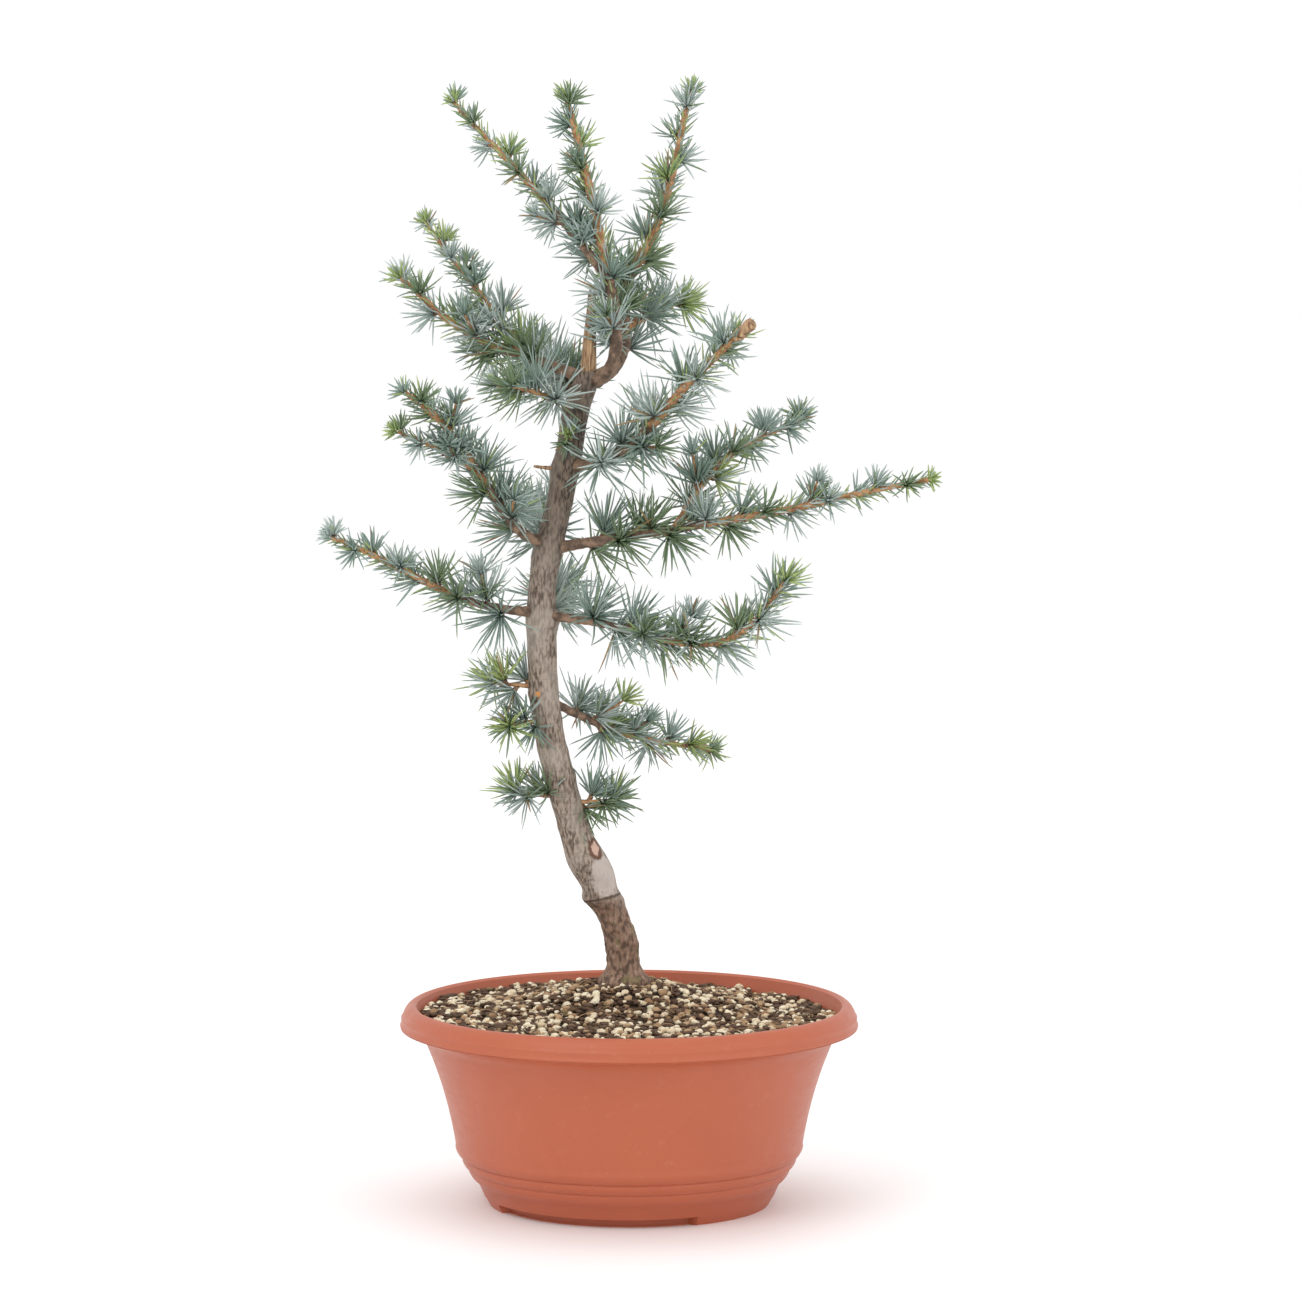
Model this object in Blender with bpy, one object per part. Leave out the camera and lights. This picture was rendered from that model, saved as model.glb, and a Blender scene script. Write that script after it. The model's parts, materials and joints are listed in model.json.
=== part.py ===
"""A young blue cedar in a round clay-coloured plastic bowl, one object for each piece.

Metres, +Z up. The bowl's axis is the Z axis and its feet stand on the plane z = 0.
The front is the -Y side. Azimuths turn anticlockwise from +X, seen from above.
"""

import math
import random
from collections import namedtuple

import bmesh
import bpy
from mathutils import Vector

# Space kept between pieces that touch in the real plant
GAP = 0.0003

# The bowl
SEGMENTS = 36
LIP_RADIUS = 0.1103
LIP_WIDTH = 0.0063
LIP_MIDDLE = 0.0860
LIP_RISE = 0.0107
LIP_DROP = 0.0013
LIP_TURN = 0.92
LIP_STEPS = 9
LIP_INNER_EDGE = (0.0016, 0.0097)
LIP_INNER_CURVE = (0.0036, 0.0037)
NECK_RADIUS = 0.0985
NECK_HEIGHT = 0.0800
WALL = 0.0022
BODY_SLOPE = 0.0085
BODY_FLARE = 0.0064
BODY_CURVE = 2.2
BODY_STOPS = (0.046, 0.063)
GROOVES = ((0.0286, 0.0836), (0.0226, 0.0803), (0.0172, 0.0774), (0.0110, 0.0730))
BAND_SWELL = 0.0007
FOOT_RADIUS = 0.0675
FOOT_WALL = 0.0032
FOOT_FLARE = 0.0018
FOOT_FLARE_HEIGHT = 0.0032
BASE_RING_HEIGHT = 0.0008
BASE_RING_INSIDE = 0.0620
BASE_RING_SLOPE = 0.0008
BASE_UNDERSIDE = 0.0040
FLOOR_RADIUS = 0.0655
FLOOR_HEIGHT = 0.0062
RECESS_MIDDLE = 252.5
RECESS_SPREAD = 90.0
RECESS_DEPTH = 0.0037
RECESS_HEIGHT = 0.0045
RECESS_STEPS = 9
CUTTER_BEYOND = 0.012
CUTTER_BELOW = -0.002

# The soil, which rises to the foot of the trunk and lies a little higher on the left
SOIL_EDGE = 0.0918
SOIL_MOUND = 0.0107
SOIL_MOUND_SPREAD = 0.030
SOIL_TILT = 0.015
SOIL_UNEVEN = 0.0006
SOIL_CLEAR_OF_WALL = 1.2 * GAP
SOIL_BELOW_EDGE = 0.004
SOIL_RINGS = (0.86, 0.70, 0.54, 0.38, 0.22)
TRUNK_PATCH = 0.026

# The trunk: height, sideways place and depth of its axis at each bend
TRUNK_BENDS = (
    (0.1028, -0.0024, 0.028),
    (0.127, -0.005, 0.027),
    (0.142, -0.012, 0.026),
    (0.179, -0.027, 0.023),
    (0.229, -0.039, 0.018),
    (0.266, -0.042, 0.014),
    (0.302, -0.041, 0.011),
    (0.339, -0.033, 0.008),
    (0.384, -0.025, 0.006),
    (0.4005, -0.0195, 0.005),
)
TRUNK_SIDES = 12
TRUNK_STEP = 0.010
TRUNK_FOOT_STEP = 0.004
FOOT_THICK = 0.0082
FORK_THICK = 0.0060
# Swellings on the trunk: height, how far they reach up and down, and how much they add
SWELLINGS = (
    (0.1028, 0.005, 0.0048),
    (0.143, 0.004, 0.0018),
    (0.160, 0.011, 0.0026),
    (0.280, 0.006, 0.0005),
    (0.313, 0.006, 0.0008),
    (0.354, 0.006, 0.0009),
    (0.384, 0.006, 0.0008),
)

# Limbs. A limb leaves the trunk's axis at a height, or its parent limb at a distance along
# it. Its pitch is read at even stops from root to tip. The masses of needles begin where
# its bare stretch ends, and reach is how far they stand out, at the root and at the tip.
Limb = namedtuple(
    "Limb", "name parent root azimuth pitches length thick bare masses reach lift"
)
LIMBS = (
    Limb("bough_low_right", "trunk", 0.242, 32, (-24, -25, -17, -11, -12), 0.100,
         0.0021, 0.018, 2, (0.017, 0.008), 0.002),
    Limb("bough_low_left", "trunk", 0.284, 205, (6, 10, 19, 27, 27, 25, 20), 0.117,
         0.0023, 0.019, 2, (0.018, 0.006), 0.0),
    Limb("bough_middle_right", "trunk", 0.2825, -27, (0, -6, -11, -8, 14, 46, 53), 0.143,
         0.0023, 0.020, 3, (0.017, 0.013), 0.001),
    Limb("bough_back_low", "trunk", 0.286, 84, (0, 2, 4, 4), 0.085,
         0.0020, 0.020, 1, (0.017, 0.012), 0.0),
    Limb("bough_long_right", "trunk", 0.3155, -14, (8, 10, 10, 10, 13, 13, 11), 0.189,
         0.0026, 0.018, 3, (0.018, 0.006), 0.003),
    Limb("bough_back_middle", "trunk", 0.318, 95, (2, 6, 8, 6), 0.091,
         0.0022, 0.020, 1, (0.017, 0.012), 0.0),
    Limb("bough_middle_left", "trunk", 0.319, 214, (0, 38, 55, 53, 50, 38, 32), 0.113,
         0.0026, 0.017, 2, (0.018, 0.008), 0.0),
    Limb("bough_high_right", "trunk", 0.3545, -38, (8, 16, 36, 44, 40, 38, 36), 0.135,
         0.0030, 0.020, 2, (0.017, 0.012), 0.0),
    Limb("bough_back_high", "trunk", 0.386, 108, (12, 16, 20, 20), 0.080,
         0.0020, 0.018, 1, (0.017, 0.012), 0.0),
    Limb("bough_short_left", "trunk", 0.383, 230, (15, 16, 15, 8), 0.048,
         0.0018, 0.017, 1, (0.017, 0.014), 0.0),
    Limb("bough_high_left", "trunk", 0.3965, 172, (22, 20, 18, 24, 34, 42, 38), 0.103,
         0.0026, 0.017, 2, (0.020, 0.008), 0.003),
    Limb("leader_middle", "trunk", 0.3965, -30, (0, 75, 98, 104, 104, 105, 107, 105), 0.146,
         0.0032, 0.024, 2, (0.015, 0.008), 0.0),
    Limb("leader_right", "trunk", 0.3945, 35, (5, 42, 88, 84, 54, 62, 70, 74, 76, 70), 0.160,
         0.0030, 0.028, 2, (0.016, 0.008), 0.0),
    Limb("leader_left", "leader_middle", 0.058, 160, (50, 49, 46, 46, 43, 50), 0.115,
         0.0022, 0.012, 2, (0.013, 0.006), 0.0),
    Limb("leader_back", "leader_right", 0.040, 50, (15, 15, 15), 0.043,
         0.0018, 0.010, 1, (0.016, 0.012), 0.0),
    Limb("side_high_left", "bough_high_left", 0.033, 150, (58, 50, 48, 46, 48, 54), 0.083,
         0.0018, 0.012, 1, (0.013, 0.006), 0.0),
    Limb("side_middle_left", "bough_middle_left", 0.058, 196, (20, 28, 30, 24, 12), 0.043,
         0.0014, 0.010, 1, (0.011, 0.006), 0.0),
    Limb("side_long_right", "bough_long_right", 0.064, 35, (56, 50, 30, 18, 22), 0.092,
         0.0019, 0.012, 1, (0.015, 0.008), 0.0),
)
# Short tufts that grow straight from the trunk
TUFTS = (
    Limb("tuft_left_upper", "trunk", 0.2475, 188, (8, 4), 0.024, 0, 0, 1, (0.013, 0.013), 0.0),
    Limb("tuft_left_middle", "trunk", 0.231, 215, (4, -6), 0.022, 0, 0, 1, (0.010, 0.010), 0.0),
    Limb("tuft_left_lower", "trunk", 0.194, 184, (4, 4), 0.023, 0, 0, 1, (0.012, 0.012), 0.0),
    Limb("tuft_right_lower", "trunk", 0.191, -6, (4, 4), 0.022, 0, 0, 1, (0.012, 0.012), 0.0),
    Limb("tuft_front", "trunk", 0.366, 268, (20, 20), 0.015, 0, 0, 1, (0.006, 0.006), 0.0),
)
TUFT_ROOT = 0.006
TUFT_ROOT_SHARE = 0.35
LIMB_SIDES = 7
LIMB_RING_STEP = 0.006
LIMB_TAPER = 0.55
MASS_SIDES = 8
MASS_RING_STEP = 0.011
MASS_UNEVEN = 0.16
MASS_ROOT_SHARE = 0.45
MASS_ROOT_RISE = 0.009
MASS_TIP = 0.007
MASS_TIP_SHARE = 0.45

# Dead wood: the old leader above the fork, a twig stub and the cut end of a bough
DEAD_LEADER_TOP = 0.438
DEAD_LEADER_THICK = (0.0037, 0.0017)
DEAD_LEADER_LEAN = 0.002
DEAD_LEADER_STEPS = 5
DEAD_LEADER_UNEVEN = 0.12
DEAD_TWIG = Limb("dead_twig", "trunk", 0.3535, 190, (4, 8), 0.0155, 0.0013, 0, 0, (0, 0), 0)
CUT_END_OF = "bough_high_right"
CUT_END = 0.012
CUT_END_THICK = 0.0027
CUT_END_STEPS = 2

# How far a course is followed past its limb's end
COURSE_BEYOND = 0.012

SEED = 7

COLOURS = {
    "bowl": (0.42, 0.115, 0.055, 0.42),
    "soil": (0.30, 0.22, 0.14, 0.95),
    "bark": (0.20, 0.15, 0.11, 0.85),
    "dead": (0.42, 0.25, 0.13, 0.80),
    "needles": (0.22, 0.33, 0.29, 0.60),
}


def clear_scene():
    for obj in list(bpy.data.objects):
        bpy.data.objects.remove(obj, do_unlink=True)


def material_for(name, finish):
    red, green, blue, roughness = COLOURS[finish]
    material = bpy.data.materials.new(name + "_finish")
    material.use_nodes = True
    shader = material.node_tree.nodes["Principled BSDF"]
    shader.inputs["Base Color"].default_value = (red, green, blue, 1.0)
    shader.inputs["Roughness"].default_value = roughness
    shader.inputs["Metallic"].default_value = 0.0
    return material


def object_from(name, form, finish):
    """A scene object from a bmesh, which is used up."""
    bmesh.ops.recalc_face_normals(form, faces=form.faces)
    mesh = bpy.data.meshes.new(name)
    form.to_mesh(mesh)
    form.free()
    obj = bpy.data.objects.new(name, mesh)
    bpy.context.scene.collection.objects.link(obj)
    if finish:
        mesh.materials.append(material_for(name, finish))
        mesh.shade_smooth()
        mesh.set_sharp_from_angle(angle=math.radians(40))
    else:
        obj.hide_render = True
        obj.display_type = "WIRE"
    return obj


def lofted(rings):
    """A closed bmesh through rings of equally many points, with a flat cap at each end."""
    form = bmesh.new()
    made = [[form.verts.new(point) for point in ring] for ring in rings]
    for lower, upper in zip(made, made[1:]):
        for i, corner in enumerate(lower):
            after = (i + 1) % len(lower)
            form.faces.new((corner, lower[after], upper[after]))
            form.faces.new((corner, upper[after], upper[i]))
    form.faces.new(made[0])
    form.faces.new(made[-1])
    return form


def turned(profile):
    """A closed bmesh: the profile, (radius, height) from axis to axis, spun round Z."""
    form = bmesh.new()
    rings = []
    for radius, height in profile:
        if radius == 0:
            rings.append([form.verts.new((0, 0, height))] * SEGMENTS)
        else:
            rings.append([form.verts.new(on_circle(radius, i, height)) for i in range(SEGMENTS)])
    for upper, lower in zip(rings, rings[1:]):
        for i in range(SEGMENTS):
            after = (i + 1) % SEGMENTS
            corners = dict.fromkeys((upper[i], upper[after], lower[after], lower[i]))
            form.faces.new(tuple(corners))
    return form


def on_circle(radius, index, height):
    angle = 2 * math.pi * index / SEGMENTS
    return (radius * math.cos(angle), radius * math.sin(angle), height)


def level(stops, t):
    """The smooth value at t, from 0 to 1, through values given at even stops."""
    place = min(max(t, 0.0), 1.0) * (len(stops) - 1)
    i = min(int(place), len(stops) - 2)
    f = place - i
    before = stops[max(i - 1, 0)]
    after = stops[min(i + 2, len(stops) - 1)]
    here, there = stops[i], stops[i + 1]
    rise_here = (there - before) / 2
    rise_there = (after - here) / 2
    return (
        here * (2 * f**3 - 3 * f**2 + 1)
        + rise_here * (f**3 - 2 * f**2 + f)
        + there * (3 * f**2 - 2 * f**3)
        + rise_there * (f**3 - f**2)
    )


# The bowl and its soil


def lip_arc():
    """The rolled lip's outer side, from its crest round to its lower edge."""
    middle = LIP_RADIUS - LIP_WIDTH
    points = []
    for i in range(LIP_STEPS + 1):
        angle = math.pi / 2 - math.pi * i / LIP_STEPS * LIP_TURN
        tall = LIP_RISE if angle > 0 else LIP_DROP
        points.append((middle + LIP_WIDTH * math.cos(angle), LIP_MIDDLE + tall * math.sin(angle)))
    return points


def body_radius(height):
    """The outer radius of the bowl's concave side."""
    bottom_height, bottom_radius = GROOVES[0]
    t = (height - bottom_height) / (NECK_HEIGHT - bottom_height)
    return bottom_radius + BODY_SLOPE * t + BODY_FLARE * t**BODY_CURVE


def bands():
    """The stepped bands above the foot: each swells out between two grooves."""
    points = []
    for (top, wide), (bottom, narrow) in zip(GROOVES, GROOVES[1:]):
        points.append(((wide + narrow) / 2 + BAND_SWELL, (top + bottom) / 2))
        points.append((narrow, bottom))
    return points


def inner_wall():
    """The bowl's inside, from the lip down to the floor."""
    lip_inside = LIP_RADIUS - LIP_WIDTH
    points = [
        (lip_inside - LIP_INNER_EDGE[0], LIP_MIDDLE + LIP_INNER_EDGE[1]),
        (lip_inside - LIP_INNER_CURVE[0], LIP_MIDDLE + LIP_INNER_CURVE[1]),
        (NECK_RADIUS - WALL, NECK_HEIGHT + GAP),
    ]
    for height in (*reversed(BODY_STOPS), GROOVES[0][0]):
        points.append((body_radius(height) - WALL, height))
    for height, radius in GROOVES[2:]:
        points.append((radius - WALL, height))
    points.append((FLOOR_RADIUS, FLOOR_HEIGHT))
    return points


def bowl():
    foot_inside = FOOT_RADIUS - FOOT_WALL
    profile = [(0, BASE_UNDERSIDE)]
    profile += [
        (BASE_RING_INSIDE - BASE_RING_SLOPE, BASE_UNDERSIDE),
        (BASE_RING_INSIDE, BASE_RING_HEIGHT),
        (foot_inside, BASE_RING_HEIGHT),
        (foot_inside, 0),
        (FOOT_RADIUS, 0),
        (FOOT_RADIUS + FOOT_FLARE, FOOT_FLARE_HEIGHT),
    ]
    profile += reversed(bands())
    profile.append((GROOVES[0][1], GROOVES[0][0]))
    profile += [(body_radius(height), height) for height in BODY_STOPS]
    profile.append((NECK_RADIUS, NECK_HEIGHT))
    profile += reversed(lip_arc())
    profile += inner_wall()
    profile.append((0, FLOOR_HEIGHT))
    pot = object_from("pot", turned(profile), "bowl")
    for middle in (RECESS_MIDDLE, RECESS_MIDDLE - 180):
        cut_from(pot, recess_cutter(middle))


def recess_cutter(middle):
    """A sector of a ring, which takes away the foot between the bowl's two feet."""
    inside = FOOT_RADIUS - RECESS_DEPTH
    outside = FOOT_RADIUS + CUTTER_BEYOND
    rings = []
    for i in range(RECESS_STEPS + 1):
        angle = math.radians(middle - RECESS_SPREAD / 2 + RECESS_SPREAD * i / RECESS_STEPS)
        along = Vector((math.cos(angle), math.sin(angle), 0))
        corners = ((inside, CUTTER_BELOW), (outside, CUTTER_BELOW), (outside, RECESS_HEIGHT))
        corners += ((inside, RECESS_HEIGHT),)
        rings.append([along * radius + Vector((0, 0, height)) for radius, height in corners])
    return object_from("cutter_recess", lofted(rings), None)


def cut_from(obj, cutter):
    modifier = obj.modifiers.new("cut", "BOOLEAN")
    modifier.operation = "DIFFERENCE"
    modifier.solver = "EXACT"
    modifier.object = cutter


def inner_radius(height):
    """The inside of the bowl at a height, less the space kept to it."""
    wall = inner_wall()
    for (wide, top), (narrow, bottom) in zip(wall, wall[1:]):
        if bottom <= height <= top:
            share = (height - bottom) / (top - bottom)
            return narrow + (wide - narrow) * share - SOIL_CLEAR_OF_WALL
    return wall[0][0] - SOIL_CLEAR_OF_WALL


def soil_height(x, y, uneven):
    """The soil's surface: a mound about the foot of the trunk with a flat patch on top."""
    foot_x, foot_y = TRUNK_BENDS[0][1:]
    away = max(math.hypot(x - foot_x, y - foot_y) - TRUNK_PATCH, 0.0)
    mound = SOIL_MOUND * math.exp(-((away / SOIL_MOUND_SPREAD) ** 2))
    if away == 0:
        return SOIL_EDGE + mound
    return SOIL_EDGE + mound - SOIL_TILT * x * min(away / TRUNK_PATCH, 1.0) + uneven


def soil():
    rng = random.Random(SEED)
    form = bmesh.new()
    rings = []
    edge = []
    for i in range(SEGMENTS):
        x, y, _ = on_circle(inner_radius(SOIL_EDGE), i, 0)
        edge.append(soil_height(x, y, 0))
    sides = [wall for wall in inner_wall() if wall[1] < min(edge) - SOIL_BELOW_EDGE]
    for _, height in reversed(sides):
        height = max(height, FLOOR_HEIGHT + GAP)
        radius = inner_radius(height)
        rings.append([form.verts.new(on_circle(radius, i, height)) for i in range(SEGMENTS)])
    rings.append(
        [form.verts.new(on_circle(inner_radius(z), i, z)) for i, z in enumerate(edge)]
    )
    for share in SOIL_RINGS:
        ring = []
        for i in range(SEGMENTS):
            x, y, _ = on_circle(inner_radius(SOIL_EDGE) * share, i, 0)
            z = soil_height(x, y, rng.uniform(-SOIL_UNEVEN, SOIL_UNEVEN))
            ring.append(form.verts.new((x, y, z)))
        rings.append(ring)
    for lower, upper in zip(rings, rings[1:]):
        for i in range(SEGMENTS):
            after = (i + 1) % SEGMENTS
            form.faces.new((lower[i], lower[after], upper[after]))
            form.faces.new((lower[i], upper[after], upper[i]))
    form.faces.new(rings[0])
    crown = form.verts.new((0, 0, soil_height(0, 0, 0)))
    for i, corner in enumerate(rings[-1]):
        form.faces.new((corner, rings[-1][(i + 1) % SEGMENTS], crown))
    object_from("soil", form, "soil")


# Trunk and limbs


def trunk_axis(height):
    heights = [bend[0] for bend in TRUNK_BENDS]
    height = min(max(height, heights[0]), heights[-1])
    i = max(k for k in range(len(heights) - 1) if heights[k] <= height)
    share = (height - heights[i]) / (heights[i + 1] - heights[i])
    t = (i + share) / (len(heights) - 1)
    x = level([bend[1] for bend in TRUNK_BENDS], t)
    y = level([bend[2] for bend in TRUNK_BENDS], t)
    return Vector((x, y, height))


def trunk_thickness(height):
    bottom, top = TRUNK_BENDS[0][0], TRUNK_BENDS[-1][0]
    share = (height - bottom) / (top - bottom)
    thick = FOOT_THICK + (FORK_THICK - FOOT_THICK) * share
    for middle, spread, added in SWELLINGS:
        thick += added * math.exp(-(((height - middle) / spread) ** 2))
    return thick


def trunk_form(grown):
    """The trunk, made thicker and taller by grown when it serves as a cutter."""
    bottom, top = TRUNK_BENDS[0][0], TRUNK_BENDS[-1][0]
    steps = round((top - bottom) / TRUNK_STEP)
    heights = [bottom + (top - bottom) * i / steps for i in range(steps + 1)]
    heights.insert(1, bottom + TRUNK_FOOT_STEP)
    rings = []
    for height in heights:
        middle = trunk_axis(height)
        if height == heights[0]:
            middle.z -= grown
        if height == heights[-1]:
            middle.z += grown
        radius = trunk_thickness(height) + grown
        ring = []
        for i in range(TRUNK_SIDES):
            angle = 2 * math.pi * i / TRUNK_SIDES
            ring.append(middle + radius * Vector((math.cos(angle), math.sin(angle), 0)))
        rings.append(ring)
    return lofted(rings)


class Course:
    """The line that a limb follows from its root, with the directions across it."""

    STEP = 0.0005

    def __init__(self, limb, start):
        self.limb = limb
        self.points = [start]
        self.count = math.ceil((limb.length + COURSE_BEYOND) / self.STEP)
        for i in range(self.count):
            self.points.append(self.points[-1] + self.along(i * self.STEP) * self.STEP)

    def along(self, distance):
        pitch = math.radians(level(self.limb.pitches, distance / self.limb.length))
        azimuth = math.radians(self.limb.azimuth)
        flat = math.cos(pitch)
        return Vector((flat * math.cos(azimuth), flat * math.sin(azimuth), math.sin(pitch)))

    def at(self, distance):
        place = max(distance / self.STEP, 0.0)
        i = min(int(place), self.count - 1)
        return self.points[i].lerp(self.points[i + 1], min(place - i, 1.0))

    def across(self, distance):
        azimuth = math.radians(self.limb.azimuth)
        side = Vector((-math.sin(azimuth), math.cos(azimuth), 0))
        return side, self.along(distance).cross(side)

    def ring(self, distance, radii, lift=0.0):
        side, rise = self.across(distance)
        middle = self.at(distance) + rise * lift
        ring = []
        for i, radius in enumerate(radii):
            angle = 2 * math.pi * i / len(radii)
            ring.append(middle + radius * (side * math.cos(angle) + rise * math.sin(angle)))
        return ring


def courses():
    found = {}
    for limb in LIMBS + TUFTS + (DEAD_TWIG,):
        if limb.parent == "trunk":
            start = trunk_axis(limb.root)
        else:
            start = found[limb.parent].at(limb.root)
        found[limb.name] = Course(limb, start)
    return found


def limb_thickness(limb, distance):
    return limb.thick * (1 - LIMB_TAPER * distance / limb.length)


def bough_form(course, end, grown):
    """The bare stretch of a limb, from the trunk's axis to where its needles begin."""
    limb = course.limb
    steps = max(round(end / LIMB_RING_STEP), 2)
    rings = []
    for i in range(steps + 1):
        distance = end * i / steps
        radius = limb_thickness(limb, distance) + grown
        if i == steps:
            distance += grown
        rings.append(course.ring(distance, [radius] * LIMB_SIDES))
    return lofted(rings)


class Mass:
    """One closed mass of needles: an uneven sleeve round a stretch of a limb."""

    def __init__(self, name, course, start, end, first, last, rng):
        self.name = name
        self.course = course
        self.start, self.end = start, end
        self.first, self.last = first, last
        steps = max(math.ceil((end - start) / MASS_RING_STEP), 2)
        self.distances = [start + (end - start) * i / steps for i in range(steps + 1)]
        if first:
            self.distances.insert(1, start + MASS_ROOT_RISE * 0.5)
        if last:
            self.distances.append(end + MASS_TIP)
        self.uneven = [
            [1 + rng.uniform(-MASS_UNEVEN, MASS_UNEVEN) for _ in range(MASS_SIDES)]
            for _ in self.distances
        ]

    def reach(self, distance):
        limb = self.course.limb
        near, far = limb.reach
        wide = near + (far - near) * min(distance / limb.length, 1.0)
        if self.first:
            share = TUFT_ROOT_SHARE if limb.thick == 0 else MASS_ROOT_SHARE
            risen = min((distance - self.start) / MASS_ROOT_RISE, 1.0)
            wide *= share + (1 - share) * risen
        if self.last and distance > self.end:
            wide *= MASS_TIP_SHARE
        return wide

    def form(self, grown):
        rings = []
        last = len(self.distances) - 1
        for i, distance in enumerate(self.distances):
            factors = self.uneven[i]
            if i in (0, last):
                factors = [1.0] * MASS_SIDES
            radii = [self.reach(distance) * factor + grown for factor in factors]
            shifted = distance + grown * ((i == last) - (i == 0))
            rings.append(self.course.ring(shifted, radii, self.course.limb.lift))
        return lofted(rings)


def masses_of(course, rng):
    """The masses along one limb, end to end with the space between pieces kept."""
    limb = course.limb
    start = limb.bare or TUFT_ROOT
    end = limb.length
    if limb.name == CUT_END_OF:
        end -= CUT_END
    stretch = (end - start) / limb.masses
    found = []
    for n in range(limb.masses):
        name = limb.name.replace("bough_", "")
        if limb in TUFTS:
            name = limb.name
        elif limb.masses > 1:
            name = f"needles_{name}_{n + 1}"
        else:
            name = f"needles_{name}"
        found.append(
            Mass(
                name,
                course,
                start + stretch * n + GAP / 2,
                start + stretch * (n + 1) - GAP / 2,
                n == 0,
                n == limb.masses - 1 and limb.name != CUT_END_OF,
                rng,
            )
        )
    return found


def box_of(obj):
    corners = [vertex.co for vertex in obj.data.vertices]
    low = [min(corner[k] for corner in corners) for k in range(3)]
    high = [max(corner[k] for corner in corners) for k in range(3)]
    return low, high


def near(a, b):
    (low_a, high_a), (low_b, high_b) = box_of(a), box_of(b)
    return all(low_a[k] <= high_b[k] and low_b[k] <= high_a[k] for k in range(3))


def carve(obj, cutters):
    """Cuts the cutters from the object for good, and keeps its largest body."""
    close = [cutter for cutter in cutters if near(obj, cutter)]
    if not close:
        return
    for cutter in close:
        cut_from(obj, cutter)
    graph = bpy.context.evaluated_depsgraph_get()
    carved = bpy.data.meshes.new_from_object(obj.evaluated_get(graph))
    obj.modifiers.clear()
    form = bmesh.new()
    form.from_mesh(carved)
    keep_largest(form)
    form.to_mesh(obj.data)
    form.free()
    bpy.data.meshes.remove(carved)


def keep_largest(form):
    left = set(form.verts)
    bodies = []
    while left:
        body = set()
        edge = [left.pop()]
        while edge:
            vertex = edge.pop()
            body.add(vertex)
            for link in vertex.link_edges:
                other = link.other_vert(vertex)
                if other in left:
                    left.remove(other)
                    edge.append(other)
        bodies.append(body)
    bodies.sort(key=len)
    for body in bodies[:-1]:
        bmesh.ops.delete(form, geom=list(body), context="VERTS")


def dead_leader_form(grown):
    """The dried old top of the trunk, which stands on the fork."""
    foot = trunk_axis(TRUNK_BENDS[-1][0])
    bottom = foot.z + GAP - grown
    wide, narrow = DEAD_LEADER_THICK
    rings = []
    for i in range(DEAD_LEADER_STEPS + 1):
        share = i / DEAD_LEADER_STEPS
        middle = foot + Vector((DEAD_LEADER_LEAN * share, 0, 0))
        middle.z = bottom + (DEAD_LEADER_TOP + grown - bottom) * share
        radius = wide + (narrow - wide) * share
        ring = []
        for k in range(LIMB_SIDES):
            angle = 2 * math.pi * k / LIMB_SIDES
            uneven = 1 + DEAD_LEADER_UNEVEN * math.sin(3 * k + 2 * i)
            out = Vector((math.cos(angle), math.sin(angle), 0))
            ring.append(middle + out * (radius * uneven + grown))
        rings.append(ring)
    return lofted(rings)


def cut_end_form(course, grown):
    """The sawn-off end of the high right bough, beyond its last needles."""
    limb = course.limb
    start = limb.length - CUT_END + GAP / 2
    rings = []
    for i in range(CUT_END_STEPS + 1):
        distance = start + (limb.length - start) * i / CUT_END_STEPS
        distance += grown * ((i == CUT_END_STEPS) - (i == 0))
        rings.append(course.ring(distance, [CUT_END_THICK + grown] * LIMB_SIDES, limb.lift))
    return lofted(rings)


def main():
    clear_scene()
    bowl()
    soil()
    trunk_cutter = object_from("cutter_trunk", trunk_form(GAP), None)
    object_from("trunk", trunk_form(0), "bark")
    found = courses()

    # Dead wood, with a slightly larger copy of each for the needles to stay clear of
    cutters = [trunk_cutter]
    object_from("dead_leader", dead_leader_form(0), "dead")
    cutters.append(object_from("cutter_dead_leader", dead_leader_form(GAP), None))
    object_from(CUT_END_OF + "_cut_end", cut_end_form(found[CUT_END_OF], 0), "dead")
    cutters.append(
        object_from("cutter_cut_end", cut_end_form(found[CUT_END_OF], GAP), None)
    )
    twig = found["dead_twig"]
    dead = object_from("dead_twig", bough_form(twig, twig.limb.length, 0), "dead")
    carve(dead, [trunk_cutter])
    cutters.append(
        object_from("cutter_twig", bough_form(twig, twig.limb.length, GAP), None)
    )

    # Bare stretches of the boughs that leave the trunk
    for limb in LIMBS:
        if limb.parent != "trunk":
            continue
        course = found[limb.name]
        bough = object_from(limb.name, bough_form(course, limb.bare - GAP / 2, 0), "bark")
        carve(bough, cutters)
        cutters.append(
            object_from("cutter_" + limb.name, bough_form(course, limb.bare, GAP), None)
        )

    # Masses of needles, each cut round the wood and the masses before it
    rng = random.Random(SEED)
    for limb in TUFTS + LIMBS:
        course = found[limb.name]
        own = []
        for mass in masses_of(course, rng):
            obj = object_from(mass.name, mass.form(0), "needles")
            others = [c for c in cutters if c.name != "cutter_" + limb.name]
            carve(obj, others)
            own.append(object_from("cutter_" + mass.name, mass.form(GAP), None))
        cutters += own


main()
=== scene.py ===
"""A young blue cedar in a round clay-coloured plastic bowl, as it looks.

Metres, +Z up. The bowl's axis is the Z axis and its feet stand on the plane z = 0.
The front is the -Y side. Azimuths turn anticlockwise from +X, seen from above.
"""

import json
import math
import random
from collections import namedtuple

import bmesh
import bpy
import numpy as np
from mathutils import Matrix, Quaternion, Vector, noise

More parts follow.
